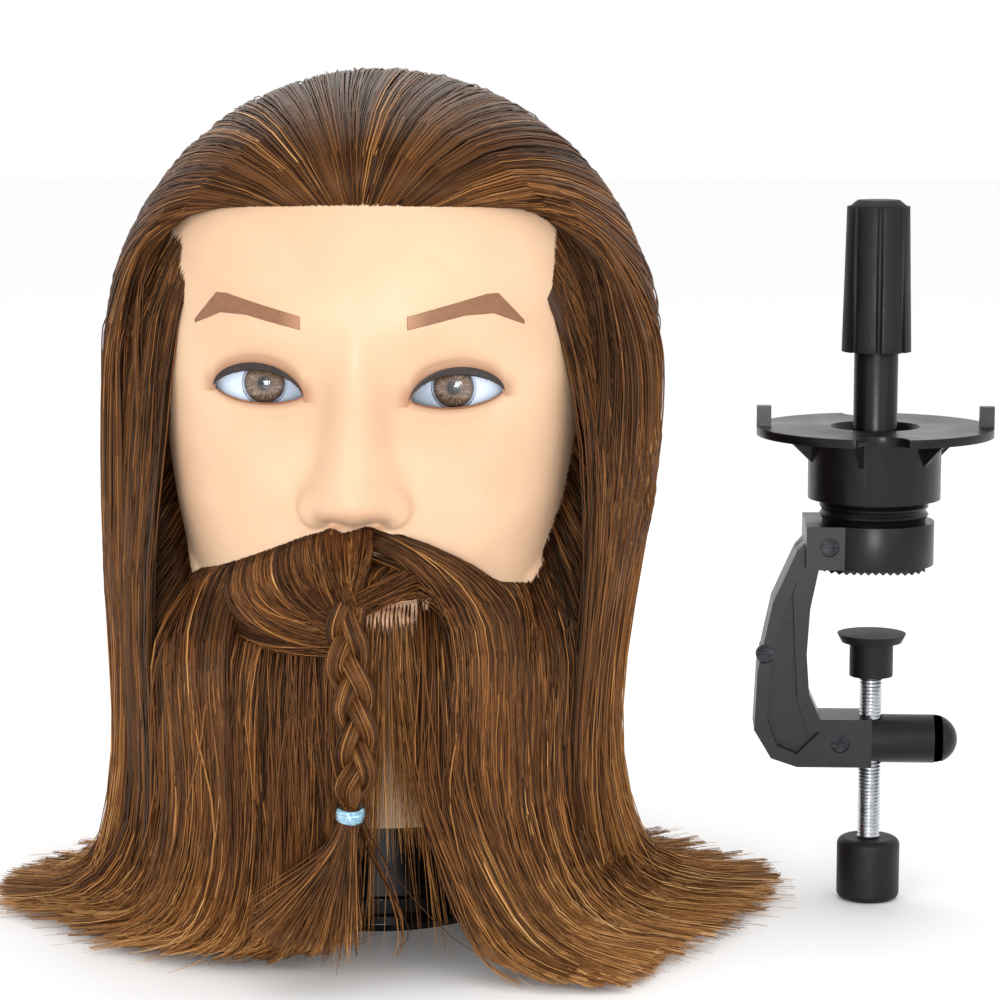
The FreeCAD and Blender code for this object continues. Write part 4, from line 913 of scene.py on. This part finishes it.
def moustache():
    """From the lip line the hair parts, arcs outward over the mouth and joins the beard."""
    for (side, word), (n, nearest, furthest, sweep) in zip(SIDES, (
        (1500, 27, 59, [20, 18, 12, 8, 2]), (2600, 0.3, 61, [44, 40, 29, 12, 2]),
    )):
        lock, depth, (turn_at, sway, ends) = strand_settings(n, 11, 1.0)
        reach = np.linspace(0, 1, n) ** 0.92
        x = PARTING + side * mix(nearest, furthest, reach) + rng.normal(0, 0.35, n)
        row = np.where(rng.uniform(0, 1, n) < 0.5, rng.uniform(0, 1.2, n), rng.uniform(0, 13, n))
        z = lip_line(x) - row * (1 - 0.3 * reach)
        away = np.abs(x - PARTING)
        aside = side * np.interp(away, [0, 12, 26, 42, 62], sweep) * rng.uniform(0.8, 1.15, n)
        low = np.interp(away, [0, 25, 62], [108, 102, 98]) + rng.normal(0, 2, n)
        t = np.linspace(0, 1, 8)[None]
        px = bezier(x, x + 0.55 * aside, x + 0.98 * aside, x + aside, t)
        pz = bezier(z, z - 3, low + 14, low, t)
        sunk = np.clip(depth - 1.0, 0, 7)[:, None]
        skin = skin_at(px, pz, 0.6 + 5.0 * ease(0, 0.35, t) * rng.uniform(0.7, 1.1, (n, 1)))
        path = mix(skin, front_point(px, pz, sunk), ease(0.35, 1.0, t)[..., None])
        path[:, 0] = skin_at(x, z, -0.4)
        last = path[:, -1]
        bearing = np.arctan2(last[:, 0], -(last[:, 1] - outline(last[:, 2])[2]))[:, None]
        drop = np.linspace(0, 1, 5)[None, 1:]
        height = last[:, 2:] + (turn_at[:, None] - last[:, 2:]) * drop
        angle = swing(bearing, sway, last[:, 2:] - height, drop)
        down = wall(angle, height, sunk)
        tail = finish_on_table(down[:, -1], angle[:, -1], *ends)
        path = pinch(soften(np.concatenate([path, down, tail], 1), 2), lock)
        lay_strands(f"{word}_moustache_strands", path, (0.22, 0.32), lock["tone"], depth, 3.3, root_dark=1.0,
                    replaces=[f"{word}_moustache"])


def tufts(n, size):
    """A tone for each hair, the same for every few neighbours."""
    return np.repeat(rng.normal(0, 1, n // size + 1), size)[:n]


def gathered():
    """The hair above and beside the chin that is drawn into the top of the plait."""
    n, from_right, from_left, from_chin = 2900, 1900, 450, 550
    kind = np.repeat([0, 1, 2], [from_right, from_left, from_chin])

    def by_kind(right, left, chin):
        return np.select([kind == 0, kind == 1], [right, left], chin)

    reach = by_kind(np.linspace(0, 1, n) * n / from_right, rng.uniform(0.05, 1, n), 0)
    x = PARTING + by_kind(-1 - 37 * reach, 8 + 24 * reach, rng.uniform(-6, 9, n))
    line = lip_line(x)
    row = np.where(rng.uniform(0, 1, n) < 0.4, rng.uniform(0, 1.2, n), rng.uniform(0, 15, n))
    z = by_kind(line - row, np.minimum(rng.uniform(123, 134, n), line - 6),
                line - 18 * rng.uniform(0, 1, n) ** 2.2)
    root = skin_at(x, z, -0.3)
    goal = np.stack([-0.2 + rng.normal(0, 1.5, n), -108.5 + rng.normal(0, 1.1, n),
                     by_kind(122 - 10 * reach, 122, 122) + rng.normal(0, 1.6, n)], -1)
    first = root + np.stack([by_kind(-1 - 8 * reach, -7, 0.25 * (x - PARTING)),
                             by_kind(-10 - 4 * reach, -9, -7), by_kind(-4 - 14 * reach, 1.5, -3)], -1)
    last = goal + np.stack([by_kind(-3 - 17 * reach, 9, 0.55 * (x - goal[:, 0])),
                            by_kind(1.5 + 3 * reach, 2.5, 2.5), by_kind(8 - 11 * reach, 3.5, 9)], -1)
    path = bezier(root, first, last, goal, np.linspace(0, 1, 14))
    keep_out = skin_at(path[..., 0], path[..., 2], 1.2)
    path[:, 1:, 1] = np.minimum(path[:, 1:, 1], keep_out[:, 1:, 1])
    lay_strands("plait_root_strands", path, (0.22, 0.32), tufts(n, 10), rng.uniform(0, 3, n), 3.8, 0.0, 1.0)


PLAIT_TOP, BAND_TOP, BAND_LOW = 124.0, 60.0, 55.6


def plait_middle(z):
    x = through([(50, 0.2), (60, 0.4), (76, 2.6), (95, 1.6), (112, -0.6), (130, 0.2)], z)
    y = through([(50, -111.5), (75, -111.8), (110, -111.2), (120, -110), (130, -107)], z)
    return np.stack([x, y, z], -1)


def ring_round(core, size, turn, u, v):
    """Points at a distance and a turn round a line."""
    return core + size[..., None] * (np.cos(turn)[..., None] * u + np.sin(turn)[..., None] * v)


def plait():
    """Three thick lobes over and under one another, each a bundle of fine hairs round a solid heart."""
    rows, n = 36, 260
    z = np.linspace(PLAIT_TOP + 1, BAND_TOP - 0.5, rows)
    squeeze = ease(BAND_TOP - 1, BAND_TOP + 9, z) * (0.72 + 0.28 * ease(126, 112, z))
    thick = 1.2 + 1.75 * squeeze
    for k in range(3):
        phase = 2 * np.pi * ((z - 60) / 41 + k / 3)
        core = plait_middle(z) + np.stack([(1.0 + 3.0 * squeeze) * np.sin(phase),
                                           (0.7 + 2.0 * squeeze) * np.sin(2 * phase), 0 * z], -1)
        around, deep = rng.uniform(0, 2 * np.pi, n), np.sqrt(rng.uniform(0.55, 1, n))
        along = unit(np.gradient(core, axis=0))
        u = unit(np.cross(along, np.array([0, -1.0, 0])))
        v = np.cross(along, u)
        turn = around[:, None] + 0.35 * np.sin(phase)[None]
        path = ring_round(core, thick * deep[:, None], turn, u, v)
        lay_strands(f"plait_lobe_{k + 1}", path, (0.24, 0.34), tufts(n, 8), rng.uniform(0, 4, n), 3.9, 0.0,
                    replaces=[f"braid_strand_{k + 1}"])
        turn, ring = np.meshgrid(np.linspace(0, 2 * np.pi, 17)[:-1], np.arange(rows))
        heart = ring_round(core[ring], 0.55 * thick[ring], turn, u[ring], v[ring])
        uv = np.stack([turn / 6.3, ring / rows], -1)
        build(f"plait_heart_{k + 1}", heart.reshape(-1, 3), grid_faces(rows, 16, closed=True), [under],
              slot="hair", uv=uv.reshape(-1, 2))


def plait_end():
    """The band, and the loose hair that flares out below it to the wearer's right."""
    band = Shader("band_elastic")
    fold = band.noise(900, 3, 0.6, (0.25, 0.25, 1.6))
    band.set(Base_Color=band.ramp(fold, (0.35, (88, 132, 158)), (0.6, (168, 206, 222))),
             Metallic=0.55, Roughness=band.range(fold, 0.18, 0.4))
    band.bump(fold, 0.35, 0.8)
    turn, up = np.meshgrid(np.linspace(0, 2 * np.pi, 65)[:-1], np.linspace(0, 2 * np.pi, 25)[:-1])
    centre = plait_middle(np.array((BAND_TOP + BAND_LOW) / 2))
    reach = 3.7 + 0.75 * np.cos(up) + 0.12 * np.sin(turn * 7 + 2 * np.sin(up))
    points = np.stack([centre[0] + reach * np.cos(turn) * 1.04, centre[1] + reach * np.sin(turn) * 0.9,
                       centre[2] + 2.2 * np.sin(up) + 0.35 * np.sin(turn * 2 + 1)], -1)
    points = np.concatenate([points, points[:1]])
    build("plait_band", points.reshape(-1, 3), grid_faces(*points.shape[:2], closed=True), [band.material],
          replaces=["braid_band"], slot="band")
    n = 900
    around, deep = rng.uniform(0, 2 * np.pi, n), np.sqrt(rng.uniform(0.1, 1, n))
    start = centre + np.stack([2.7 * deep * np.cos(around), 2.4 * deep * np.sin(around), np.full(n, 3.0)], -1)
    spread = rng.beta(1.6, 1.6, n)
    tip = np.stack([mix(3.0, -34.0, spread) + rng.normal(0, 1.5, n), -112 + 8 * np.sin(around) * deep,
                    mix(16, 22, spread) + rng.normal(0, 3.5, n)], -1)
    away = tip[:, 0] - start[:, 0]
    first = start + np.stack([0.1 * away, 0 * deep, np.full(n, -15.0)], -1)
    last = tip + np.stack([-0.38 * away, 0 * deep, np.full(n, 11.0)], -1)
    path = bezier(start, first, last, tip, np.linspace(0, 1, 14))
    lay_strands("plait_tail", path, (0.22, 0.34), tufts(n, 9), rng.uniform(0, 4, n), 3.4, 1.6,
                replaces=["braid_tail"])


def under_sheet(name, make, across, depths, shortest, spread, **kw):
    """A closed slab of still hair between two depths of one row of paths."""
    n = len(across)
    ends = (shortest + spread * rng.uniform(0, 1, n), np.zeros(n), np.full(n, 3.5))
    upper, lower = (make(depth=np.full(n, depth), turn_at=np.full(n, TURN_HEIGHT), sway=np.zeros((n, 2)),
                         ends=ends, **kw) for depth in depths)
    uv = np.stack(np.meshgrid(across, np.linspace(0, 1, upper.shape[1]), indexing="ij"), -1)
    slab(name, upper, lower, [under], slot="hair", uv=np.tile(uv.reshape(-1, 2), (2, 1)))


def under_hair():
    """The body of hair below the loose strands, as closed slabs that follow the same paths."""
    for side, word in SIDES:
        bearing = np.arange(62, 182.1, 1.5)
        n = len(bearing)
        root = skin_at(side * (1 + 57 * off_parting(bearing)), np.full(n, 247.6), -0.6)
        under_sheet(f"{word}_under_hair", comb_back, bearing / 180, (5.6, 7.4), 0.62, 0.14, root=root,
                    bearing=side * np.radians(bearing), begin=np.zeros(n), lift=18)
        spot = along_edge(WINDOW, np.linspace(0.0, 0.40, 60) if side < 0 else np.linspace(1.0, 0.60, 60))
        root = skin_at(spot[:, 0] + side * 3, spot[:, 1], -0.6)
        bearing = np.degrees(np.abs(skin_bearing(root))) + np.interp(spot[:, 1], [125, 200, 245], [9, 14, 26])
        under_sheet(f"{word}_under_side", hang, np.linspace(0, 1, 60), (5.4, 7.2), 0.62, 0.14, root=root,
                    bearing=side * np.radians(bearing), sink=30)
        x = side * np.linspace(10 if side < 0 else 26, 60, 40)
        under_lip = np.interp(np.abs(x), [30, 46], [26, 6]) if side < 0 else 9
        root = skin_at(np.clip(x, -58.5, 57.5), lip_line(x) - under_lip, -0.6)
        under_sheet(f"{word}_under_beard", hang, np.linspace(0, 1, 40), (6.4, 8.2), 0.55, 0.2, root=root,
                    bearing=skin_bearing(root) * 1.02, sink=22)


shades, under = hair_shades(), hair_under()
under_hair()
top_hair()
side_hair()
beard()
chin_veil()
moustache()
gathered()
plait()
plait_end()

# ---------------------------------------------------------------- base and stand


def foam():
    """White cast foam with fine open cells."""
    s = Shader("foam")
    cell = s.noise(700, 3, 0.5)
    s.set(Base_Color=s.ramp(cell, (0.35, (206, 196, 176)), (0.65, (232, 224, 206))), Roughness=0.9)
    s.bump(cell, 0.3, 0.7)
    return s.material


def black_steel():
    s = Shader("black_steel")
    s.set(Base_Color=s.ramp(s.noise(500, 4, 0.7), (0.35, (22, 22, 24)), (0.8, (58, 58, 62))),
          Metallic=0.9, Roughness=s.range(s.noise(180, 3), 0.28, 0.48))
    s.bump(s.noise(1200, 2), 0.02, 0.4)
    return s.material


def dress(material, nodes, edge=0.0):
    """Gives CAD nodes their material, and rounds their edges by a width in millimetres."""
    for name in nodes:
        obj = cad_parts[name]
        obj.data.materials.clear()
        obj.data.materials.append(material)
        if edge:
            weld = obj.modifiers.new("weld", "WELD")
            weld.merge_threshold = 0.005 * MM
            bevel = obj.modifiers.new("bevel", "BEVEL")
            bevel.width, bevel.segments, bevel.limit_method = edge * MM, 2, "ANGLE"
            bevel.angle_limit = math.radians(38)


dress(black_plastic("base_plastic", 0.10, 0.24, 420, 0.03, (7, 7, 8)), ["neck_base"])
dress(black_plastic("socket_plastic", 0.35, 0.5, 420, 0.05), ["socket_tube"])
dress(foam(), ["foam_core"])
dress(black_plastic("frame_plastic", 0.26, 0.42, 520, 0.05), ["clamp_frame_front", "clamp_frame_rear"], 0.5)
dress(black_plastic("nut_plastic", 0.24, 0.40, 480, 0.05), ["threaded_stub", "lock_nut", "ball_post"], 0.35)
dress(black_plastic("grip_rubber", 0.42, 0.62, 900, 0.10, (12, 12, 13)),
      ["jaw_pad", "pressure_pad", "clamp_knob", "post_sleeve", "sleeve_plug"], 0.35)
dress(black_steel(), ["frame_bolts"], 0.2)
dress(steel("screw_steel"), ["clamp_screw", "hex_nut", "base_screws"])

# ---------------------------------------------------------------- plain studio


def make_studio():
    scene = bpy.context.scene
    scene.view_settings.view_transform = "Standard"
    scene.view_settings.look = "None"
    floor = Shader("studio_floor")
    floor.set(Base_Color=srgb(252, 252, 252), Roughness=0.6, Specular_IOR_Level=0.2)
    mesh = bpy.data.meshes.new("studio_floor")
    mesh.from_pydata([(-6, -6, 0), (6, -6, 0), (6, 6, 0), (-6, 6, 0)], [], [(0, 1, 2, 3)])
    mesh.materials.append(floor.material)
    ground = bpy.data.objects.new("studio_floor", mesh)
    bpy.context.collection.objects.link(ground)
    world = bpy.data.worlds.new("studio")
    scene.world = world
    world.use_nodes = True
    world.node_tree.nodes["Background"].inputs["Color"].default_value = (1, 1, 1, 1)
    world.node_tree.nodes["Background"].inputs["Strength"].default_value = 1.0
    aim = Vector((0, 0, 0.15))
    for name, place, size, power in (
        ("key", (-0.9, -1.5, 1.5), 0.9, 3.5), ("fill", (1.3, -1.4, 0.7), 1.0, 3),
        ("top", (0.1, 0.2, 1.6), 0.8, 5), ("front", (0.12, -1.9, 0.30), 0.4, 18),
    ):
        light = bpy.data.lights.new(name, "AREA")
        light.shape, light.size, light.energy = "SQUARE", size, power
        lamp = bpy.data.objects.new(name, light)
        bpy.context.collection.objects.link(lamp)
        lamp.location = place
        lamp.rotation_euler = (aim - Vector(place)).to_track_quat("-Z", "Y").to_euler()


def make_camera():
    """The photograph's view: a long lens in front of the head, a little to the wearer's left."""
    distance, height = 1.10, 0.300
    azimuth, aside, down = math.radians(5.0), math.radians(2.2), math.radians(8.15)
    data = bpy.data.cameras.new("camera")
    data.sensor_width, data.lens = 36, 115.2
    camera = bpy.data.objects.new("camera", data)
    bpy.context.collection.objects.link(camera)
    camera.location = (distance * math.sin(azimuth), -distance * math.cos(azimuth), height)
    camera.rotation_euler = (math.pi / 2 - down, 0, azimuth - aside)
    bpy.context.scene.camera = camera


make_studio()
make_camera()
